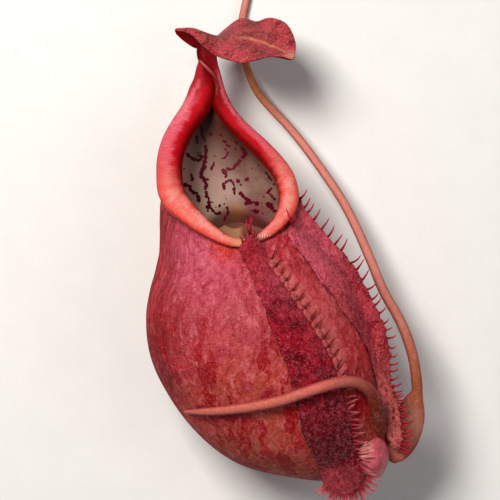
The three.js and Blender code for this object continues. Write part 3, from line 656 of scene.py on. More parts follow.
BLOT_SPREAD = 1.35  # how much wider a row of blots comes out than its chain's stated width
BLOT_STEP = 0.42  # from blot to blot, in widths
BLOT_JOG = 0.16  # how far a blot strays from its line, in widths
bm = bmesh.new()
draw = random.Random(5)
for width, points in CHAINS:
    width *= BLOT_SPREAD
    line = [Vector(point) for point in points]
    reach = sum((b - a).length for a, b in zip(line, line[1:]))
    count = max(1, round(reach / (BLOT_STEP * width)))
    for i in range(count + 1 if reach else 1):
        spot = on_line(line, i / count) if reach else line[0]
        size = 0.5 * width * draw.uniform(0.55, 1.1)
        shape = Matrix.Rotation(draw.uniform(0, math.pi), 4, "Z") @ Matrix.Diagonal(
            (size, size * draw.uniform(0.6, 1.0), 1, 1))
        blot = bmesh.ops.create_circle(bm, cap_ends=True, segments=9, radius=1.0, matrix=shape)
        jog = Vector([draw.uniform(-BLOT_JOG, BLOT_JOG) for _ in range(2)]) * width
        for vertex in blot["verts"]:
            vertex.co = to_wall(spot.x + jog.x + vertex.co.x, spot.y + jog.y + vertex.co.y)
for face in bm.faces:
    if face.normal.z < 0:
        face.normal_flip()
dashes = new_piece("throat_dashes", bm, wine_blot())

# %% [markdown]
# ## The base lobe
# Below the belly the cup narrows to a smooth, satin pink knob where the tendril joined it. It is
# a ball with a soft waist, so a sphere with a few gentle dents is enough.

# %% The base lobe
LOBE_CENTRE = seen(34.9, -61.8, 38.6)
LOBE_SIZE = Vector((7.0, 7.6, 9.8)) * MM


def lobe_skin():
    f = Finish("base_lobe", Specular_IOR_Level=0.3, Roughness=0.42, Subsurface_Weight=0.1,
               Subsurface_Scale=0.004)
    place = f.where()
    cloud = f.noise(f.where("Object", (1, 0.5, 1)), 240.0, 4.0, 0.6)
    colour = f.mix(f.between(cloud, 0.3, 0.7), tone(150, 40, 56), tone(196, 84, 94))
    crown = LOBE_CENTRE + Vector((-3.0, 3.8, 7.5)) * MM
    colour = f.patch(colour, crown, 0.0066, 0.8, tone(226, 158, 146))
    # painted shade, darker on the knob's lower side
    colour = f.lay(colour, f.between(f.part(place, "Z"), 0.036, 0.031), 0.6, tone(140, 36, 44))
    speck = f.noise(place, 1300.0, 2.0)
    colour = f.mix(f.between(speck, 0.52, 0.7, 0.0, 0.4), colour, tone(232, 150, 150))
    return f.finish(colour, None, (cloud, 0.0005))


bm = bmesh.new()
bmesh.ops.create_icosphere(bm, subdivisions=5, radius=1.0)
for vertex in bm.verts:
    swell = 1 + 0.05 * noise.noise(vertex.co * 1.7)
    vertex.co = LOBE_CENTRE + Vector(a * b for a, b in zip(vertex.co * swell * 0.98, LOBE_SIZE))
lobe_tree = BVHTree.FromBMesh(bm)
lobe = new_piece("base_lobe", bm, lobe_skin())
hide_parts("pitcher_cup")

# %% [markdown]
# ## The collar
# Each strand is a tube of changing width, flattened towards the mouth and swept along its line.
# The finest thing on it is the set of cross ribs, three to each millimetre, that guide insects
# inwards; they are too fine for faces and are made as a bump that runs along v.

# %% Tubes along a line
CAP = 0.012  # the share of a tube's length that rounds off each end
LOOK = 0.002  # how far on along the line its heading is taken


def swept(route, up, across, length, swell=None):
    """A closed tube along (x, y, z, half width, half thickness) points, in mm as seen."""
    line = [seen(*point[:3]) for point in route]
    widths = [point[3] for point in route]
    thicknesses = [point[4] for point in route]
    frames = {}

    def ring(t):
        key = round(t, 6)
        if key not in frames:
            centre = on_line(line, t)
            ahead = on_line(line, min(1, t + LOOK)) - on_line(line, max(0, t - LOOK))
            ahead.normalize()
            side = ahead.cross(up).normalized()
            above = side.cross(ahead).normalized()
            frames[key] = centre, side, above, along(widths, t) * MM, along(thicknesses, t) * MM
        return frames[key]

    def place(u, v):
        t = min(1.0, max(0.0, (v - CAP) / (1 - 2 * CAP)))
        centre, side, above, width, thickness = ring(t)
        end = min(v, 1 - v) / CAP
        close = math.sqrt(max(0.0, 1 - (1 - end) ** 2)) if end < 1 else 1.0
        if end < 1:
            push = (1 - end) * thickness * 0.8 * (1 if v > 0.5 else -1)
            centre = centre + side.cross(above) * -push
        more = 1 + (swell(u, t) if swell else 0.0)
        angle = 2 * math.pi * u
        return (centre + side * width * close * more * math.cos(angle)
                + above * thickness * close * more * math.sin(angle))

    return skin(place, across, length)


print("a tube's rounded end is", CAP, "of its length")

# %% [markdown]
# ## The collar's gloss
# The roll is waxy and changes as it turns: dark red on the mouth's side, partly its own colour and
# partly painted shade, with more painted shade along its edges and at the neck; a broad pink
# painted highlight on the outer side; salmon along the front, with a pale painted highlight on its
# crest; and cream where the strands meet. u goes round the tube, so its cosine says which side a
# place is on.
# Noises make the borders uneven, and streaks run round it, the pale ones painted as highlight.

# %% The collar
def collar_gloss(name, outer_shift, lit_from, cream_from):
    """One strand's wax, with painted highlights and painted shade; outer_shift turns the pink
    painted highlight outwards.
    """
    f = Finish(name, Specular_IOR_Level=0.04, Coat_Weight=0.01, Coat_Roughness=0.2,
               Subsurface_Weight=0.03, Subsurface_Scale=0.002)
    u, v = f.uv("X"), f.uv("Y")
    turn = f.maths("COSINE", f.times(f.plus(u, outer_shift), 2 * math.pi))
    cloud = f.noise(f.where(), 300.0, 5.0, 0.65)
    bands = f.noise(f.where("UV", (2.0, 44.0, 1.0)), 1.0, 4.0, 0.65)
    uneven = f.plus(f.times(f.maths("SUBTRACT", cloud, 0.5), 0.8),
                    f.times(f.maths("SUBTRACT", bands, 0.5), 0.9))
    side = f.plus(turn, uneven)
    calm = f.plus(turn, f.times(uneven, 0.35))
    # dark red on the mouth's side: partly the roll's own colour, partly painted shade
    colour = f.mix(f.between(calm, -0.95, -0.35), tone(92, 0, 0), tone(170, 12, 22))
    front = f.between(f.plus(v, f.times(turn, 0.06)), 0.42, 0.66)
    lit = f.between(v, lit_from, lit_from + 0.12)
    # a broad pink painted highlight on the outer side, strong from lit_from on
    highlight_band = f.times(f.between(side, -0.35, 0.15), f.between(side, 1.3, 0.95, 0.5, 1.0))
    pink = f.times(highlight_band, f.maths("SUBTRACT", 1.0, front))
    colour = f.lay(colour, pink, f.between(lit, 0.0, 1.0, 0.12, 0.9), tone(204, 80, 96))
    # a paler painted glint inside the highlight, near the neck
    glint = f.times(f.between(f.apart(side, 0.5), 0.35, 0.1),
                    f.times(f.between(v, 0.12, 0.16), f.between(v, 0.40, 0.30)))
    colour = f.lay(colour, glint, 0.5, tone(216, 118, 130))
    colour = f.lay(colour, front, f.between(calm, -0.98, -0.45, 0.3, 1.0), tone(206, 70, 56))
    # a pale painted highlight along the crest of the front
    crest_highlight = f.times(front, f.between(f.maths("ABSOLUTE", side), 0.95, 0.2, 0.0, 0.9))
    colour = f.lay(colour, crest_highlight, f.between(cloud, 0.38, 0.58, 0.4, 1.0), tone(216, 134, 124))
    # painted shade along both edges of the roll
    rim = f.between(f.maths("ABSOLUTE", turn), 0.88, 0.99)
    colour = f.lay(colour, rim, 0.6, tone(136, 4, 6))
    colour = f.lay(colour, f.between(v, cream_from, cream_from + 0.07),
                   f.between(side, -0.9, 0.0, 0.4, 0.9), tone(204, 138, 98))
    ribs = f.add("ShaderNodeTexWave", {"Vector": f.where("UV", (0.0, 1.0, 0.0)), "Scale": 76.0,
                                        "Distortion": 1.2, "Detail": 2.0},
                 bands_direction="Y").outputs["Fac"]
    streaks = f.noise(f.where("UV", (9.0, 230.0, 1.0)), 1.0, 4.0, 0.7)
    colour = f.mix(f.between(streaks, 0.50, 0.36, 0.0, 0.28), colour, tone(150, 0, 10))
    # pale streaks painted as highlight within the pink band
    colour = f.lay(colour, f.between(streaks, 0.50, 0.70, 0.0, 0.3), f.times(highlight_band, lit),
                   tone(232, 146, 146))
    # painted shade over the neck end, deepest on the inner side, where the other strand shades it
    dark = f.times(f.between(v, lit_from + 0.04, lit_from - 0.08),
                   f.between(calm, 0.5, -0.3, 0.3, 1.0))
    colour = f.lay(colour, dark, 0.8, tone(84, 0, 2))
    rough = f.between(streaks, 0.3, 0.7, 0.32, 0.46)
    return f.finish(colour, rough, (ribs, 0.00004), (streaks, 0.00010), (cloud, 0.0005))


UNEVEN = 0.02  # how much a strand's width changes, as a share of it
for name, strand, finish, wobble in (
    ("collar_left", LEFT_STRAND, collar_gloss("collar_left_gloss", 0.0, 0.18, 0.86), 3.0),
    ("collar_right", RIGHT_STRAND, collar_gloss("collar_right_gloss", 0.5, 0.30, 0.98), 8.0),
):
    def swell(u, t):
        return UNEVEN * noise.noise(Vector((3 * u, 12 * t, wobble)))

    route = [(x, y, z, half, half * COLLAR_FLATNESS) for x, y, z, half in strand]
    piece = new_piece(name, swept(route, MOUTH_NORMAL, 40, 420, swell), finish)
    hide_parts("peristome")

# %% [markdown]
# ## The neck's ridge
# Above the mouth the two strands cross: the right one turns over the left, and the edge where
# they meet stands up as a thin, bright ridge that winds down to the top of the mouth.

# %% The neck's ridge
RIDGE_ROUTE = [
    (-15.9, 58.6, 19.6, 0.12, 0.2), (-14.6, 56.4, 21.6, 0.35, 0.5), (-12.6, 54.3, 22.1, 0.5, 0.6),
    (-10.9, 52.3, 21.6, 0.5, 0.6), (-10.0, 50.1, 21.0, 0.5, 0.6), (-9.9, 47.4, 20.7, 0.45, 0.6),
    (-10.4, 45, 20.5, 0.4, 0.5), (-11.2, 43.2, 20.4, 0.3, 0.4),
]


def ridge_wax():
    f = Finish("ridge_wax", Specular_IOR_Level=0.2, Roughness=0.4)
    v = f.uv("Y")
    cloud = f.noise(f.where(), 500.0, 4.0, 0.6)
    colour = f.mix(f.between(v, 0.15, 0.55), tone(164, 62, 62), tone(112, 16, 12))
    colour = f.mix(f.between(v, 0.6, 0.95), colour, tone(96, 2, 2))
    colour = f.mix(f.between(cloud, 0.5, 0.65, 0.0, 0.3), colour, tone(206, 104, 70))
    return f.finish(colour, None, (cloud, 0.0001))


ridge = new_piece("neck_ridge", swept(RIDGE_ROUTE, MOUTH_NORMAL, 14, 120), ridge_wax())
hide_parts("peristome")

# %% [markdown]
# ## The lid
# The lid is a small leaf that keeps rain out. It is thin, waved across its length and bent up at
# its left lobe, where its smooth underside shows. Eleven cross lines, each with a far, a middle
# and a near point, give the wave; a Solidify modifier gives it a leaf's thickness.

# %% The lid
LID_SECTIONS = [
    ((-22, 64.6, 21), (-22.6, 66, 22), (-21.6, 66, 22.6)),
    ((-19.8, 62.7, 18), (-17.4, 66.2, 24), (-17.4, 64.5, 28)),
    ((-16.2, 60.6, 16), (-13.8, 65.1, 25), (-14.4, 61.5, 31)),
    ((-12.6, 61.5, 13.5), (-9.9, 63.9, 24.5), (-10.5, 58.5, 34)),
    ((-7.2, 66.3, 12), (-5.4, 63.6, 26), (-6.3, 56.9, 37)),
    ((-3, 69.3, 13), (-1.2, 63.3, 28), (-2.1, 56.3, 39)),
    ((1.8, 69.3, 15), (2.4, 62.4, 30), (2.1, 57.1, 40)),
    ((6.6, 69.6, 19), (6.3, 60.9, 32), (6, 58.3, 40)),
    ((11.1, 67.8, 25), (9.9, 59.4, 34), (9.6, 58.3, 39)),
    ((13.5, 62.7, 32), (12.3, 58.2, 36), (12, 57.5, 38)),
    ((13.6, 58.6, 36), (13.3, 57.7, 37), (13.1, 57.4, 37.4)),
]
LID_THICKNESS = 0.8  # in mm, as are the edge's ripple and the notch in the far edge
RIPPLE_HEIGHT, NOTCH_DEPTH = 0.35, 0.9
lid_lines = {}


def lid_sheet(u, v):
    """u goes from the far edge to the near one, v from the left lobe to the right tip."""
    w = 2 * u - 1
    key = round(w, 5)
    if key not in lid_lines:
        line = []
        for section in LID_SECTIONS:
            far, mid, near = (seen(*point) for point in section)
            line.append(mid + (near - far) / 2 * w + ((near + far) / 2 - mid) * w * w)
        lid_lines[key] = line
    point = on_line(lid_lines[key], v)
    edge = abs(w) ** 4 * math.sin(math.pi * v)
    ripple = RIPPLE_HEIGHT * edge * math.sin(2 * math.pi * 5 * v + 2 * w)
    notch = -NOTCH_DEPTH * max(0.0, -w) ** 3 * math.exp(-(((v - 0.60) / 0.05) ** 2))
    return point + Vector((0, notch * MM, ripple * MM))


print("the lid is given by", len(LID_SECTIONS), "cross lines")

# %% The lid's finishes
def lid_leaf():
    f = Finish("lid_leaf", Specular_IOR_Level=0.08, Sheen_Weight=0.02, Sheen_Roughness=0.5)
    u, v = f.uv("X"), f.uv("Y")
    cloud = f.noise(f.warped(f.where(), 120.0, 0.006), 190.0, 5.0, 0.65)
    colour = f.mix(f.between(cloud, 0.36, 0.64), tone(112, 6, 16), tone(176, 54, 64))
    slant = f.apart(u, 0.5)
    comb = f.maths("SUBTRACT", f.times(v, 9.0), f.times(slant, 5.0))
    comb = f.plus(comb, f.times(cloud, 1.8))
    side = f.apart(f.maths("FRACT", comb), 0.5)
    side_veins = f.between(side, 0.10, 0.0)
    colour = f.lay(colour, side_veins, 0.16, tone(214, 122, 104))
    bent = f.plus(f.maths("SUBTRACT", u, 0.5), f.times(cloud, 0.05))
    rib = f.between(f.apart(bent, 0.025), 0.055, 0.01)
    strong = f.times(f.between(v, 0.34, 0.55), f.between(v, 0.98, 0.78, 0.35, 1.0))
    colour = f.lay(colour, rib, f.times(strong, f.between(cloud, 0.35, 0.6, 0.35, 0.75)),
                   tone(208, 128, 84))
    # the pale right tip
    colour = f.patch(colour, seen(12.6, 58.2, 38), 0.005, 0.5, tone(226, 168, 140))
    colour, felt = f.grain(colour, tone(112, 2, 14), tone(228, 124, 124), 1900.0, 0.5)
    return f.finish(colour, f.between(cloud, 0.3, 0.7, 0.5, 0.65),
                    (side_veins, 0.0002), (cloud, 0.0005), (felt, 0.0004))


def lid_underside():
    f = Finish("lid_underside", Specular_IOR_Level=0.02, Roughness=0.45)
    cloud = f.noise(f.where(), 220.0, 4.0, 0.6)
    colour = f.mix(cloud, tone(104, 0, 2), tone(150, 14, 20))
    # painted light along the edges of the underside
    rim = f.between(f.apart(f.uv("X"), 0.5), 0.465, 0.5)
    colour = f.lay(colour, rim, 0.6, tone(176, 40, 40))
    return f.finish(colour, None, (cloud, 0.0003))


bm = skin(lid_sheet, 40, 90)
lid = new_piece("lid_blade", bm, lid_leaf(), lid_underside())
wall = lid.modifiers.new("leaf_thickness", "SOLIDIFY")
wall.thickness = LID_THICKNESS * MM
wall.offset = 0.0
wall.material_offset = 1
wall.use_even_offset = True
soften = lid.modifiers.new("soft_edge", "SUBSURF")
soften.levels = soften.render_levels = 1
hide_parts("lid")

# %% [markdown]
# ## Laying things on the cup
# Wings, filaments and the clasping tendril lie on the belly. A ray from the eye through the
# outline point finds where it meets the cup, so each of them is where it is seen and also rests
# on the skin. Where the ray misses, or the cup has already fallen away, a stated height holds.

# %% Landing
GAP = 0.32  # mm between pieces that touch, as in the solids
WING_LIFT = 0.47  # mm from the cup to the underside of a wing


def landing(x, y, floor, trees=None):
    """Where the sight line to x, y meets the cup or its lobe, and at least floor mm up."""
    best = seen(x, y, floor)
    aim = (seen(x, y, OUTLINE_PLANE) - EYE).normalized()
    for tree in trees or [cup_tree, lobe_tree]:
        hit = tree.ray_cast(EYE, aim)[0]
        if hit and hit.z > best.z:
            best = hit
    return best


def lifted(point, height):
    """The point moved towards the eye by height in mm."""
    return point + (EYE - point).normalized() * height * MM


print("the belly's top lies at", round(landing(0, -25, 0).z / MM, 1), "mm")

# %% [markdown]
# ## The sheet of a wing
# A wing is a closed skin round a thin strap. u goes over its upper face from the root to the free
# edge and back under it, and v goes along it. Each station gives the root, the free edge and
# the least height of both. Noise makes the edges ragged, and relief crumples the upper face.

# %% The sheet of a wing
def wing_sheet(stations, thickness, relief, ragged):
    """The place function of a wing's skin, for skin()."""
    fields = [[station[k] for station in stations] for k in range(6)]
    rows = {}

    def place(u, v):
        key = round(v, 6)
        if key not in rows:
            rows[key] = [along(field, v) for field in fields]
        root_x, root_y, edge_x, edge_y, root_floor, edge_floor = rows[key]
        tame = math.sin(math.pi * v) ** 0.3 if 0 < v < 1 else 0.0
        root_x += ragged * tame * noise.noise(Vector((46 * v, 0.5, 2.0)))
        edge_x += 1.6 * ragged * tame * noise.noise(Vector((60 * v, 7.5, 2.0)))
        angle = 2 * math.pi * u
        f = (1 - math.cos(angle)) / 2
        base = landing(root_x + (edge_x - root_x) * f, root_y + (edge_y - root_y) * f,
                       root_floor + (edge_floor - root_floor) * f)
        side = math.copysign(abs(math.sin(angle)) ** 0.55, math.sin(angle))
        full = thickness(f) * min(1.0, smooth_step(0, 0.02, v) * smooth_step(1, 0.98, v) + 0.02)
        rise = full * (0.5 + 0.5 * side)
        if side > 0:
            rise += relief(f, v) * side
        return lifted(base, WING_LIFT + rise)

    return place


print("a wing lies", WING_LIFT, "mm above the cup")

# %% [markdown]
# ## Filaments and hairs
# The wings' edges carry stiff filaments, and their faces a felt of short hairs. Each filament is a
# small tapered tube with a bow in it. A hair is a three-sided spike, because thousands of them
# are needed. All random draws come from seeded sources, so every run grows the same plant.

# %% Filaments
FILAMENT_RADII = (0.40, 0.10)  # at the root and at the tip, in mm
FILAMENT_SUNK = 0.7  # how far a filament's root reaches back into its wing, in mm
HEADING_SPREAD = 12  # how far filaments turn from their row's heading, in degrees
HOOK_SPREAD = 0.4  # how much their bows differ, in mm


def add_filament(bm, root, tip, bow, radii=FILAMENT_RADII, lift=0.0):
    """A tapered tube from root to tip, bowed sideways by bow and upwards by lift, in mm."""
    axis = tip - root
    across = axis.cross(Vector((0, 0, 1))).normalized()
    above = across.cross(axis).normalized()

    def place(u, v):
        radius = (radii[0] * (1 - v) ** 0.8 + radii[1] * v) * MM * (1 if v < 0.99 else 0)
        bend = (across * bow * MM * math.sin(math.pi * v * 0.8)
                + above * lift * MM * math.sin(math.pi * v))
        angle = 2 * math.pi * u
        arm = (across * math.cos(angle) + above * math.sin(angle)) * radius
        return root + axis * v + bend + arm

    bend_grid(bm, place, 6, 7)


def fringe(bm, edge, count, lengths, headings, root_height, tip_height, seed,
           lift=0.3, hook=0.0, loose=1.0):
    """A row of filaments along an edge; lengths and headings change along it."""
    draw = random.Random(seed)
    line = [Vector((x, y)) for x, y in edge]
    for i in range(count):
        t = (i + 0.25 + 0.5 * draw.random()) / count
        foot = on_line(line, t)
        length = along(lengths, t) * (1 + 0.15 * loose * (2 * draw.random() - 1))
        turn = HEADING_SPREAD * loose * (2 * draw.random() - 1)
        heading = math.radians(along(headings, t) + turn)
        ahead = Vector((math.cos(heading), math.sin(heading)))
        root = foot - ahead * FILAMENT_SUNK
        tip = foot + ahead * length
        bow = hook + HOOK_SPREAD * loose * (2 * draw.random() - 1)
        add_filament(bm, root_height(root.x, root.y, t), tip_height(tip.x, tip.y, t), bow,
                     lift=lift)


print("a filament is", 2 * FILAMENT_RADII[0], "mm thick at its root")

# %% Hairs
LOCK = 60  # hairs that are made together
HAIR_SUNK = 0.05  # how deep a hair's root is, in mm


def add_hair(bm, root, direction, length, radius):
    """One short hair: a three-sided spike."""
    turn = direction.to_track_quat("Z", "Y").to_matrix().to_4x4()
    middle = Matrix.Translation(root + direction * length * MM / 2)
    bmesh.ops.create_cone(bm, cap_ends=False, segments=3, radius1=radius * MM,
                          radius2=radius * 0.15 * MM, depth=length * MM, matrix=middle @ turn)


def felt(name, piece, count, length, radius, finish, seed, keep, lean=Vector((0.1, 0.2, 0))):
    """Grows hairs on a piece's skin where keep() is above 0. They are made in small locks,
    because each mesh operator takes longer the more its mesh already holds."""
    draw = random.Random(seed)
    source = bmesh.new()
    source.from_mesh(piece.data)
    bmesh.ops.triangulate(source, faces=source.faces)
    faces = [face for face in source.faces if keep(face.calc_center_median(), face.normal) > 0]
    weights = [face.calc_area() * keep(face.calc_center_median(), face.normal) for face in faces]
    whole, patch, lock = bmesh.new(), bpy.data.meshes.new(name + "_patch"), bmesh.new()
    for number, face in enumerate(draw.choices(faces, weights, k=count), 1):
        a, b, c = (vertex.co for vertex in face.verts)
        p, q = draw.random(), draw.random()
        if p + q > 1:
            p, q = 1 - p, 1 - q
        root = a + (b - a) * p + (c - a) * q
        wander = Vector([draw.uniform(-0.5, 0.5) for _ in range(3)])
        direction = (face.normal + lean + wander * 1.1).normalized()
        size = length * draw.uniform(0.6, 1.3)
        add_hair(lock, root - direction * HAIR_SUNK * MM, direction, size, radius)
        if number % LOCK == 0 or number == count:
            lock.to_mesh(patch)
            whole.from_mesh(patch)
            lock.clear()
    lock.free()
    bpy.data.meshes.remove(patch)
    source.free()
    return new_piece(name, whole, finish)


print("hairs are made", LOCK, "at a time")

# %% [markdown]
# ## The left wing
# The left wing starts at the collar's front, runs down the belly as a broad dark wine strap and
# flares at its foot. It stands a little proud and is crowned across. Its upper face is crumpled,
# and rays run out into the foot.

# %% The left wing's stations
LEFT_WING = [
    (-0.4, 4.7, 0.8, 5.0, 54.9, 54.9), (-2.5, 2.1, 2.4, 3.1, 54.9, 54.7),
    (-3.5, 0.2, 3.4, 1.2, 54.8, 54.2), (-2.0, -2.9, 4.6, -0.6, 55, 53.6),
    (-0.6, -5.5, 6.2, -2.6, 54.5, 53), (0.8, -8.3, 8.7, -6.3, 50, 50),
    (2.4, -13.2, 11.4, -9.9, 40, 40),
    (4.5, -18.3, 14.4, -14.7, 40, 40), (6.5, -24, 17.4, -18.9, 40, 40),
    (8.4, -28.8, 20.7, -24, 40, 40), (10.5, -33, 23.4, -28.5, 40, 40),
    (12.3, -39, 25.8, -33, 40, 40), (14.4, -46.5, 27.6, -38.4, 40, 40),
    (15.6, -54.3, 29.4, -46.1, 40, 40), (17.4, -59.1, 30.7, -51.9, 42, 42),
    (19.8, -63.3, 31.6, -57.6, 43, 47), (21, -67.8, 32.7, -62.6, 42.5, 48),
    (22.5, -71.1, 34.6, -67.0, 41, 45), (25.8, -73.2, 34.2, -70.4, 40, 41.5),
    (28.5, -73.8, 31.5, -72.9, 39.5, 40),
]
print("the left wing is given by", len(LEFT_WING), "stations")

# %% The finishes of the left wing
def dark_wing():
    f = Finish("dark_wing", Specular_IOR_Level=0.06, Sheen_Weight=0.02, Sheen_Roughness=0.6)
    f.shader.inputs["Sheen Tint"].default_value = (1.0, 0.4, 0.45, 1)
    place = f.where()
    cloud = f.noise(f.warped(place, 90.0, 0.01), 210.0, 5.0, 0.7)
    colour = f.mix(f.between(cloud, 0.38, 0.62), tone(104, 0, 14), tone(170, 12, 38))
    # red at its top, mauve beside it, and painted shade, nearly black, above the foot
    colour = f.patch(colour, seen(1.5, -2, 56), 0.018, 0.7, tone(178, 36, 50))
    colour = f.patch(colour, seen(10, -10, 56), 0.014, f.between(cloud, 0.38, 0.58, 0.1, 0.75),
                     tone(184, 72, 92))
    colour = f.patch(colour, seen(24, -55, 46), 0.022, 0.9, tone(60, 0, 2), 0.8)
    # the pink, rayed foot, and painted shade in the crease along the wing's root
    rays = f.noise(f.where("UV", (40.0, 3.0, 1.0)), 1.0, 3.0, 0.6)
    colour = f.patch(colour, seen(29, -73, 43), 0.0125, f.between(rays, 0.35, 0.6, 0.45, 1.0),
                     tone(200, 66, 78), 0.6)
    crease_shade = f.between(f.apart(f.uv("X"), 0.5), 0.455, 0.49)
    colour = f.lay(colour, crease_shade, 0.85, tone(54, 0, 6))
    colour, felt = f.grain(colour, tone(72, 0, 8), tone(214, 92, 104), 1500.0, 0.55)
    return f.finish(colour, f.between(cloud, 0.3, 0.7, 0.55, 0.75), (cloud, 0.0016), (felt, 0.0009))


def filament_red(name, dark, pale):
    f = Finish(name, Specular_IOR_Level=0.15, Roughness=0.45)
    cloud = f.noise(f.where(), 500.0, 3.0)
    colour = f.mix(f.between(f.uv("Y"), 0.1, 0.8), dark, pale)
    colour = f.mix(f.between(cloud, 0.45, 0.6, 0.0, 0.4), colour, tone(90, 6, 18))
    return f.finish(colour, None, (cloud, 0.0001))


def hair_pale():
    f = Finish("hair_pale", Specular_IOR_Level=0.15, Roughness=0.5)
    cloud = f.noise(f.where(), 700.0, 2.0)
    colour = f.mix(f.between(cloud, 0.4, 0.6), tone(140, 28, 42), tone(214, 130, 136))
    return f.finish(colour)


dark_wing_finish, hair_finish = dark_wing(), hair_pale()
filament_finish = filament_red("filament_red", tone(116, 4, 16), tone(176, 30, 46))
foot_finish = filament_red("foot_filament", tone(150, 36, 48), tone(202, 108, 112))
print("finishes:", dark_wing_finish.name, hair_finish.name, filament_finish.name)

# %% The left wing
WING_EDGE, WING_CROWN = 1.0, 1.5  # its thickness at the edges, and how much its middle adds
FOOT_RAYS, RAY_HEIGHT, CRUMPLE_HEIGHT = 8, 0.3, 0.42


def left_thickness(f):
    return WING_EDGE + WING_CROWN * math.sin(math.pi * f)


def left_relief(f, v):
    """Crumples and the foot's rays, in mm; f goes from the root to the free edge."""
    crumple = noise.noise(Vector((6 * f, 34 * v, 0)))
    crumple += 0.5 * noise.noise(Vector((14 * f, 80 * v, 3)))
    rays = RAY_HEIGHT * math.sin(2 * math.pi * FOOT_RAYS * f) * smooth_step(0.86, 0.96, v)
    height = (CRUMPLE_HEIGHT * crumple + rays) * math.sin(math.pi * f)
    return height * smooth_step(0.04, 0.2, v) - 0.1


bm = skin(wing_sheet(LEFT_WING, left_thickness, left_relief, 0.7), 56, 260)
left_tree = BVHTree.FromBMesh(bm)
left_wing = new_piece("left_wing_blade", bm, dark_wing_finish)
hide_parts("left_wing")

# %% [markdown]
# ## The left wing's filaments
# Three kinds grow on this wing. Short dark spines lie pressed on the cup between the scalloped
# cells. Eight stiff filaments stand at the wing's top as a tuft that reaches over the collar.
# Pale ones fringe the lower free edge, lie over the base lobe and fan out round the foot.

# %% The left wing's spines and tuft
LEFT_FRINGE_EDGE = [station[2:4] for station in LEFT_WING[4:18]]
CELL_COUNT = 13
CELL_SPAN = 8 / 13  # how much of the edge the cells take up
left_edge_line = [Vector(point) for point in LEFT_FRINGE_EDGE]
# Each filament of the tuft: root x and y, tip x and y, bow and radius, in mm as seen.
TUFT = [
    (0.0, 4.4, -0.9, 9.4, -0.4, 0.34), (0.1, 4.4, -0.1, 10.6, 0.2, 0.36),
    (0.2, 4.4, 1.3, 10.1, -0.6, 0.34), (0.0, 4.4, -0.5, 8.0, 0.3, 0.26),
    (-0.9, 3.6, -2.1, 6.4, -0.2, 0.22), (1.3, 4.2, 1.4, 6.8, 0.1, 0.24),
    (1.8, 3.7, 2.3, 6.2, 0.1, 0.22), (-2.1, 1.6, -3.7, 4.4, 0.5, 0.42),
]
TUFT_ROOTS, TUFT_TIPS = 55.5, 57.6  # heights, in mm


def on_skin(height, floor=42):
    return lambda x, y, t=0: lifted(landing(x, y, floor), height)


bm = uv_mesh()
draw = random.Random(23)
for i in range(CELL_COUNT + 1):
    foot = on_line(left_edge_line, CELL_SPAN * i / CELL_COUNT)
    heading = math.radians(draw.uniform(48, 72))
    ahead = Vector((math.cos(heading), math.sin(heading))) * draw.uniform(2.4, 4.0)
    root, tip = foot - ahead * 0.3, foot + ahead
    add_filament(bm, on_skin(0.9)(*root), on_skin(0.85)(*tip), draw.uniform(-0.5, 0.5),
                 (0.27, 0.05), lift=0.4)
spines = new_piece("left_wing_spines", closed(bm),
                   filament_red("spine_dark", tone(84, 0, 8), tone(140, 10, 26)))
bm = uv_mesh()
for x, y, tip_x, tip_y, bow, radius in TUFT:
    add_filament(bm, seen(x, y, TUFT_ROOTS), seen(tip_x, tip_y, TUFT_TIPS), bow, (radius, 0.06),
                 lift=0.3)
left_filaments = new_piece("left_wing_filaments", closed(bm), filament_finish)

# %% The left wing's lower fringe
LEFT_FOOT_EDGE = [(22.2, -70.2), (25, -72.9), (29.4, -73.8), (33.6, -71.8), (36.2, -67.8)]
bm = uv_mesh()
fringe(bm, LEFT_FRINGE_EDGE[8:], 23, [2.4, 3.6, 4.6], [30, 4, -12], on_skin(1.2, 45),
       on_skin(1.1, 46), 7, lift=0.6, loose=1.8)
fringe(bm, LEFT_FOOT_EDGE, 26, [3.4, 4.0, 4.0, 4.2, 4.4], [208, 235, 275, 312, 352],
       lambda x, y, t: seen(x, y, 41.5 + 5.5 * smooth_step(0.55, 1, t)),
       lambda x, y, t: seen(x, y, 40.5 + 6 * smooth_step(0.55, 1, t)), 19)
foot_filaments = new_piece("left_wing_foot_filaments", closed(bm), foot_finish)
for piece in (spines, left_filaments, foot_filaments):
    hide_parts("left_wing")

# %% [markdown]
# ## The collar's teeth
# On the inner side the ribs of a collar end in teeth. A few show at its front, as short cream
# points that lie on the roll and get smaller to the right. Each is a thick, short filament.

# %% The collar's teeth
TOOTH_COUNT, TOOTH_STEP = 6, 0.66  # how many, and how far apart in mm
bm = uv_mesh()
for i in range(TOOTH_COUNT):
    x = 2.3 + TOOTH_STEP * i
    y, z = 2.9 + 0.35 * (x - 2.7), 53.1 - 0.43 * (x - 2.7)  # along the collar's lower edge
    add_filament(bm, seen(x, y, z + 0.4), seen(x - 0.3 + 0.15 * i, y + 1.8 - 0.16 * i, z + 1.1),
                 0.1, (0.26 - 0.025 * i, 0.08), lift=0.3)
teeth = new_piece("collar_teeth", closed(bm),
                  filament_red("tooth_cream", tone(232, 176, 140), tone(250, 226, 200)))

# %% [markdown]
# ## The scalloped cells
# Between the filaments that lie pressed on the front, the skin swells into a row of small, pale,
# rounded cells, with painted shade in the grooves between them and at their roots under the wing's
# edge. Each is one small grid: its sides follow the wing's free edge, its outer end is rounded, and
# it domes up a little from the skin that it lies on.

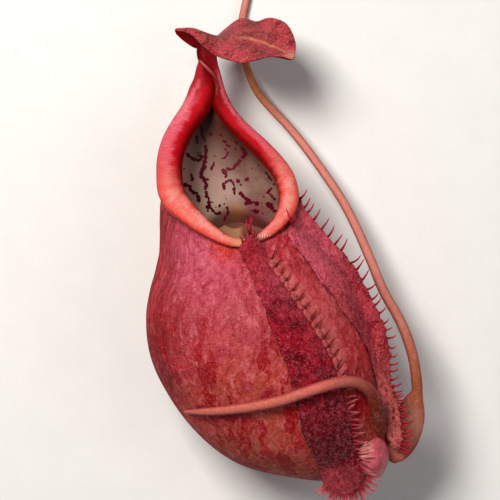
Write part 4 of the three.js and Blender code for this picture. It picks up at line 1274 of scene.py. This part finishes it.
# %% The scalloped cells
def cell_skin():
    f = Finish("cell_skin", Specular_IOR_Level=0.08, Sheen_Weight=0.02, Sheen_Roughness=0.5)
    u, v = f.uv("X"), f.uv("Y")
    cloud = f.noise(f.where(), 300.0, 4.0, 0.6)
    colour = f.mix(f.between(cloud, 0.35, 0.65), tone(176, 66, 68), tone(204, 94, 92))
    colour, felt = f.grain(colour, tone(126, 14, 24), tone(232, 132, 126), share=0.45)
    side = f.plus(f.times(f.apart(u, 0.5), 2.0), f.times(cloud, 0.15))
    # painted shade in the grooves between cells and at each cell's root under the wing's edge
    groove_shade = f.times(f.between(side, 0.92, 1.04), f.between(v, 0.95, 0.6))
    edge = f.maths("MAXIMUM", groove_shade, f.between(v, 0.13, 0.05))
    colour = f.lay(colour, edge, 0.95, tone(76, 0, 8))
    return f.finish(colour, f.between(cloud, 0.3, 0.7, 0.5, 0.62), (felt, 0.0006))


CELL_ROOT = 1.9  # how far a cell reaches back under the wing's edge, in mm
CELL_SUNK, CELL_DOME = 0.25, 0.8  # how deep its border is, and how high its middle rises
bm = uv_mesh()
draw = random.Random(29)
cuts = [i + draw.uniform(-0.25, 0.25) for i in range(CELL_COUNT + 1)]
for i in range(CELL_COUNT):
    start, stop = CELL_SPAN * cuts[i] / CELL_COUNT, CELL_SPAN * cuts[i + 1] / CELL_COUNT
    grow = 0.6 + 0.4 * smooth_step(0, 4, i)
    reach = grow * draw.uniform(3.8, 5.6)
    heading = math.radians(draw.uniform(44, 52))
    ahead = Vector((math.cos(heading), math.sin(heading)))

    def cell(u, v):
        a = 2 * u - 1
        edge = on_line(left_edge_line, start + (stop - start) * u)
        round_end = (1 - v) ** 2 * 1.2 * abs(a) ** 4
        spot = edge + ahead * (-CELL_ROOT + round_end + (reach + CELL_ROOT) * v)
        dome = (1 - abs(a) ** 8) * (1 - (1 - v) ** 14) * smooth_step(1.0, 0.5, v)
        base = landing(spot.x, spot.y, 40, [cup_tree, left_tree])
        return lifted(base, -CELL_SUNK + CELL_DOME * dome)

    bend_grid(bm, cell, 10, 14)
bmesh.ops.recalc_face_normals(bm, faces=bm.faces)
cells = new_piece("left_wing_cells", bm, cell_skin())

# %% [markdown]
# ## The left wing's felt
# Short pale hairs cover the wing's upper face, and longer ones lie among them, most of all on
# its lower half. Real hair by the thousand gives the soft, dull look that a bump can't.

# %% The left wing's felt
HAIR_RADIUS = 0.022  # in mm


def upper_face(place, normal):
    return 1.0 if normal.z > 0.1 else 0.0


def mostly_low(place, normal):
    return 0.0 if normal.z < 0.1 else 1.0 if place.y < -0.040 else 0.12


left_felt = felt("left_wing_felt", left_wing, 9000, 0.55, HAIR_RADIUS, hair_finish, 11, upper_face)
left_locks = felt("left_wing_locks", left_wing, 1200, 1.0, HAIR_RADIUS, hair_finish, 12,
                  mostly_low, Vector((0.35, 0.0, -0.2)))

# %% [markdown]
# ## The right wing
# The right wing hugs the cup's right shoulder and turns over its edge, so only its upper side
# shows. It is pinker, with a painted purple sheen near its top and painted shade in the crease
# along its root.

# %% The right wing
RIGHT_WING = [
    (13.6, 12.6, 14.9, 16.2, 43, 40.5), (11.7, 7.0, 16.4, 12.4, 45, 41.5),
    (11.2, 4.4, 19.2, 9, 45, 41), (13.0, 1.5, 23.1, 4.7, 44, 40),
    (15.6, -1.4, 27, 0.3, 44, 38.5), (18.6, -5.7, 30.9, -4.2, 44, 37),
    (21.8, -10.4, 33.9, -9.3, 42, 36), (24.9, -14, 36.4, -14.4, 42, 35.5),
    (27, -17.4, 38.4, -18.6, 42, 35.5), (30, -21.3, 40.4, -23.1, 40, 35.5),
    (32.4, -24.3, 41.6, -27.6, 40, 36), (33.9, -27, 42.2, -31.5, 40, 36),
    (35.7, -30.9, 42.2, -36, 40, 36.5), (37, -35, 42.9, -40.2, 40, 37),
    (37.8, -39.3, 43.8, -44.2, 40, 38), (38.8, -44.1, 44.9, -48, 39, 38.6),
    (39.4, -48.6, 45.4, -51.6, 38.4, 38.6), (40.2, -53.4, 45.8, -55.2, 38.4, 38.4),
    (41.6, -57.6, 45.8, -58.4, 38, 38), (43.4, -60.2, 45.0, -60.4, 37, 37),
]
RIGHT_THICKNESS = 1.25  # in mm


def pink_wing():
    f = Finish("pink_wing", Specular_IOR_Level=0.07, Sheen_Weight=0.02, Sheen_Roughness=0.5)
    f.shader.inputs["Sheen Tint"].default_value = (1.0, 0.5, 0.7, 1)
    place = f.where()
    cloud = f.noise(f.warped(place, 110.0, 0.01), 170.0, 5.0, 0.68)
    colour = f.mix(f.between(cloud, 0.38, 0.62), tone(136, 10, 26), tone(190, 54, 64))
    # a painted purple sheen near the wing's top
    colour = f.patch(colour, seen(17, 0, 46), 0.022, f.between(cloud, 0.3, 0.55, 0.4, 0.9),
                     tone(204, 82, 100))
    low = f.between(f.part(place, "Y"), -0.030, -0.052)
    colour = f.lay(colour, low, 0.8, tone(180, 92, 78))
    spot = f.cells(f.warped(f.where("Object", (1, 0.5, 1)), 300.0, 0.002), 640.0)
    colour = f.lay(colour, f.between(spot, 0.36, 0.22), f.between(low, 0.0, 1.0, 0.05, 0.9),
                   tone(116, 2, 14))
    # painted shade in the crease along the root
    crease_shade = f.between(f.apart(f.uv("X"), 0.5), 0.43, 0.47)
    colour = f.lay(colour, crease_shade, 0.9, tone(66, 0, 6))
    colour, felt = f.grain(colour, tone(94, 2, 14), tone(226, 120, 132))
    return f.finish(colour, f.between(cloud, 0.3, 0.7, 0.5, 0.66), (cloud, 0.0016), (felt, 0.0006))


def right_relief(f, v):
    """Crumples, in mm, which are lower towards the base."""
    crumple = noise.noise(Vector((3.5 * f, 26 * v, 4)))
    crumple += 0.6 * noise.noise(Vector((9 * f, 60 * v, 9)))
    return (0.40 - 0.26 * smooth_step(0.6, 0.8, v)) * crumple * math.sin(math.pi * f) ** 0.5 - 0.05


bm = skin(wing_sheet(RIGHT_WING, lambda f: RIGHT_THICKNESS, right_relief, 0.5), 44, 230)
right_wing = new_piece("right_wing_blade", bm, pink_wing())
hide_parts("right_wing")

# %% [markdown]
# ## The right wing's filaments
# They hook upwards along the free edge, and a second, denser row fills the gap beside the base.
# Three long spikes grow from the wing's top; the longest arches over the collar.

# %% The right wing's filaments
RIGHT_FRINGE_EDGE = [station[2:4] for station in RIGHT_WING]
right_floors = [station[5] for station in RIGHT_WING]
SPIKES = ((10.3, 13.4, 53.2, 3.0), (13.0, 10.9, 50.6, 1.4), (14.0, 9.4, 49, 1.0))


def on_edge(height):
    return lambda x, y, t: lifted(landing(x, y, along(right_floors, t)), GAP + height)


bm = uv_mesh()
fringe(bm, RIGHT_FRINGE_EDGE, 34, [3.2, 3.8, 3.4, 2.6, 2.4, 2.6, 2.8],
       [66, 58, 48, 30, 20, 5, -25], on_edge(0.6), on_edge(1.1), 43, lift=0.7, hook=0.45)
fringe(bm, RIGHT_FRINGE_EDGE[13:], 15, [2.6, 3.4, 3.4], [26, 22, -20],
       lambda x, y, t: seen(x, y, 39.4), lambda x, y, t: seen(x, y, 39.8), 47, lift=0.7, hook=0.3)
for x, y, tall, arch in SPIKES:
    add_filament(bm, seen(11.2 + 0.08 * x, 8.0, 46.8), seen(x, y, tall), 0.3, (0.55, 0.08),
                 lift=arch)
right_filaments = new_piece("right_wing_filaments", closed(bm), filament_finish)
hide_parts("right_wing")

# %% [markdown]
# ## The carrying tendril
# The pitcher hangs from a long tendril, the drawn-out midrib of its leaf. It comes from above,
# passes behind the cup on the right and widens into a scoop that holds the cup's base.

# %% The stems' finish
def stem_bark(name, first, second, low, high, red, patches=()):
    """A smooth young stem: one colour before low, another after high, red sides that are partly
    painted shade, streaks.
    """
    f = Finish(name, Specular_IOR_Level=0.12, Subsurface_Weight=0.05, Subsurface_Scale=0.002)
    uv = f.where("UV")
    cloud = f.noise(f.where("UV", (3.0, 60.0, 1.0)), 1.0, 3.0)
    colour = f.mix(f.between(f.part(uv, "Y"), low, high), first, second)
    turn = f.maths("COSINE", f.times(f.part(uv, "X"), 2 * math.pi))
    # the sides darker and redder: partly the stem's own red, partly painted shade
    edges = f.between(f.plus(f.maths("ABSOLUTE", turn), f.times(cloud, 0.3)), 0.65, 1.2)
    colour = f.lay(colour, edges, 0.8, red)
    streak = f.noise(f.where("UV", (34.0, 24.0, 1.0)), 1.0, 4.0, 0.65)
    colour = f.mix(f.between(streak, 0.54, 0.72, 0.0, 0.25), colour, tone(150, 40, 32))
    for spot, radius, tint in patches:
        colour = f.patch(colour, spot, radius, 0.85, tint)
    colour, felt = f.grain(colour, tone(140, 50, 38), tone(234, 160, 142), 1500.0, 0.2)
    return f.finish(colour, f.between(cloud, 0.3, 0.7, 0.38, 0.52),
                    (streak, 0.0002), (felt, 0.0002))


print("the stems share one finish, made twice")

# %% The carrying tendril
TENDRIL_ROUTE = [
    (0.2, 80.4, 1.5, 1.35), (-1.1, 75, 1.6, 1.35), (-2.3, 69.3, 2, 1.35), (-2.7, 63, 2.4, 1.4),
    (-1.5, 56.4, 3, 1.4), (2.3, 47.4, 4.5, 1.45), (11.7, 36.8, 7, 1.5), (17, 30.3, 8.5, 1.55),
    (27.6, 15, 12, 1.6), (32.1, 6.3, 14.5, 1.65), (36.3, -3.3, 17, 1.7), (40.2, -12.6, 20, 1.75),
    (45.3, -21.8, 24, 1.8), (48.6, -30.9, 28, 1.85), (49.9, -38.4, 31, 1.9, 1.9),
    (50.1, -42.4, 32, 2.0, 1.9), (49.2, -45.6, 32.8, 3.2, 1.7), (48.0, -50.0, 33.5, 4.6, 1.6),
    (45.9, -55.2, 34, 5.3, 1.7), (43.9, -58.9, 34.2, 4.9, 1.9), (41.6, -61.4, 34.2, 3.6, 2.0),
]
UP = Vector((0, 0, 1))
SCOOP_WIDTH = 2.1  # the half width in mm from which the stem is a scoop
SLIMMER, FLATTER = 0.88, 0.9  # shares of the stated width, where slender, and thickness
tendril_route = [
    (x, y, z, half * (SLIMMER if half < SCOOP_WIDTH else 1), FLATTER * (thick or [half])[0])
    for x, y, z, half, *thick in TENDRIL_ROUTE
]
tendril_finish = stem_bark(
    "tendril_bark", tone(198, 120, 106), tone(134, 66, 36), 0.50, 0.72, tone(134, 52, 44),
    ((seen(46.5, -52.5, 34), 0.009, tone(158, 106, 92)),
     (seen(44, -60, 35), 0.006, tone(178, 92, 74)), (seen(0, 52, 5), 0.024, tone(182, 112, 62))))


SCOOP_DEPTH = 0.55  # as a share of the thickness


def scooped(u, t):
    """The upper face is hollow where the stem widens round the base."""
    return -SCOOP_DEPTH * math.exp(-(((u - 0.25) / 0.13) ** 2)) * smooth_step(0.70, 0.80, t)


tendril = new_piece("tendril_stem", swept(tendril_route, UP, 32, 420, scooped), tendril_finish)
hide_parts("tendril")

# %% [markdown]
# ## The clasping tendril
# A second tendril comes round from behind the base and lies across the belly, tapering to a fine
# point. Its height is found as for the wings: it rests on the highest thing under it.

# %% The clasping tendril
CLASP_ROUTE = [
    (38.4, -55.6, 1.9), (38.4, -51.6, 2.3), (37.8, -46.8, 2.2), (36, -42.6, 1.9),
    (32.4, -40, 1.7), (27.9, -39.6, 1.7), (22.5, -40.8, 1.7), (15.9, -42.9, 1.65),
    (9, -45.2, 1.6), (1.5, -46.8, 1.5), (-6, -47.9, 1.35), (-12.6, -48.4, 1.1),
    (-16.8, -48.5, 0.75), (-19.4, -48.5, 0.4),
]
CLASP_FEELER = 1.2  # how far to each side the stem's rest is felt for, in mm
CLASP_SUNK = 0.2  # how far it presses into what it rests on


def clasp_height(x, y, radius):
    """The height of the stem's middle where it rests on the highest thing under it."""
    steps = ((0, 0), (CLASP_FEELER, 0), (-CLASP_FEELER, 0), (0, CLASP_FEELER), (0, -CLASP_FEELER))
    heights = [landing(x + dx, y + dy, OUTLINE_PLANE, [cup_tree, left_tree]).z for dx, dy in steps]
    return max(heights) / MM + radius - CLASP_SUNK


clasp_route = [
    (x, y, clasp_height(x, y, r) - max(0.0, 5.2 - 2.0 * i), r, r)
    for i, (x, y, r) in enumerate(CLASP_ROUTE)
]
# the first stretch, where the stem bends round behind the base, is dark brown painted shade,
# deepest at the bend
clasp_finish = stem_bark("clasping_bark", tone(104, 28, 8), tone(188, 94, 80), 0.22, 0.36,
                         tone(150, 36, 40), ((seen(38.4, -50, 46), 0.010, tone(84, 22, 4)),))
clasp = new_piece("clasping_stem", swept(clasp_route, UP, 24, 260), clasp_finish)
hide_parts("clasping_tendril")
clasp_felt = felt("clasping_stem_felt", clasp, 2600, 0.42, HAIR_RADIUS, hair_finish, 13,
                  lambda place, normal: 1.0 if normal.z > -0.3 else 0.0)

# %% [markdown]
# ## The fluid
# A pitcher holds a little digestive fluid. The pool is the hollow below its level: a copy of the
# inner wall is cut with a level plane, the part above is dropped and the cut is filled. Only a
# crescent of it shows, and two darker patches stand for what its surface mirrors.

# %% The fluid
FLUID_LEVEL = 10.6  # in mm


def fluid_sheet(u, v):
    t = HOLLOW_END * v
    middle = cup_middle(t)
    return middle if v < 1e-6 or v > 1 - 1e-6 else cup_wall(u, t, -CUP_WALL - GAP)


def fluid_gloss():
    f = Finish("fluid", Specular_IOR_Level=0.5, Roughness=0.12, IOR=1.34)
    cloud = f.noise(f.where(), 160.0, 3.0)
    colour = f.mix(cloud, tone(176, 122, 86), tone(196, 146, 110))
    far, near = seen(-4.6, 11.2, FLUID_LEVEL), seen(1.2, 5.6, FLUID_LEVEL)
    colour = f.patch(colour, far, 0.0054, 0.95, tone(110, 58, 54), 0.16)
    colour = f.patch(colour, near, 0.0050, 0.9, tone(112, 58, 52), 0.35)
    return f.finish(colour, None, (cloud, 0.0001))


bm = skin(fluid_sheet, 96, 90)
cut = bmesh.ops.bisect_plane(bm, geom=[*bm.verts, *bm.edges, *bm.faces], dist=1e-7,
                             plane_co=(0, 0, FLUID_LEVEL * MM), plane_no=(0, 0, 1),
                             clear_outer=True)["geom_cut"]
rim_edges = [item for item in cut if isinstance(item, bmesh.types.BMEdge)]
bmesh.ops.holes_fill(bm, edges=rim_edges, sides=0)
bmesh.ops.recalc_face_normals(bm, faces=bm.faces)
fluid = new_piece("fluid_pool", bm, fluid_gloss())
for face in fluid.data.polygons:
    face.use_smooth = face.normal.z < 0.99
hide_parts("digestive_fluid")

# %% [markdown]
# ## The last update
# The view layer is updated once more, so that every piece stands where it was put.

# %% Update the view layer
bpy.context.view_layer.update()
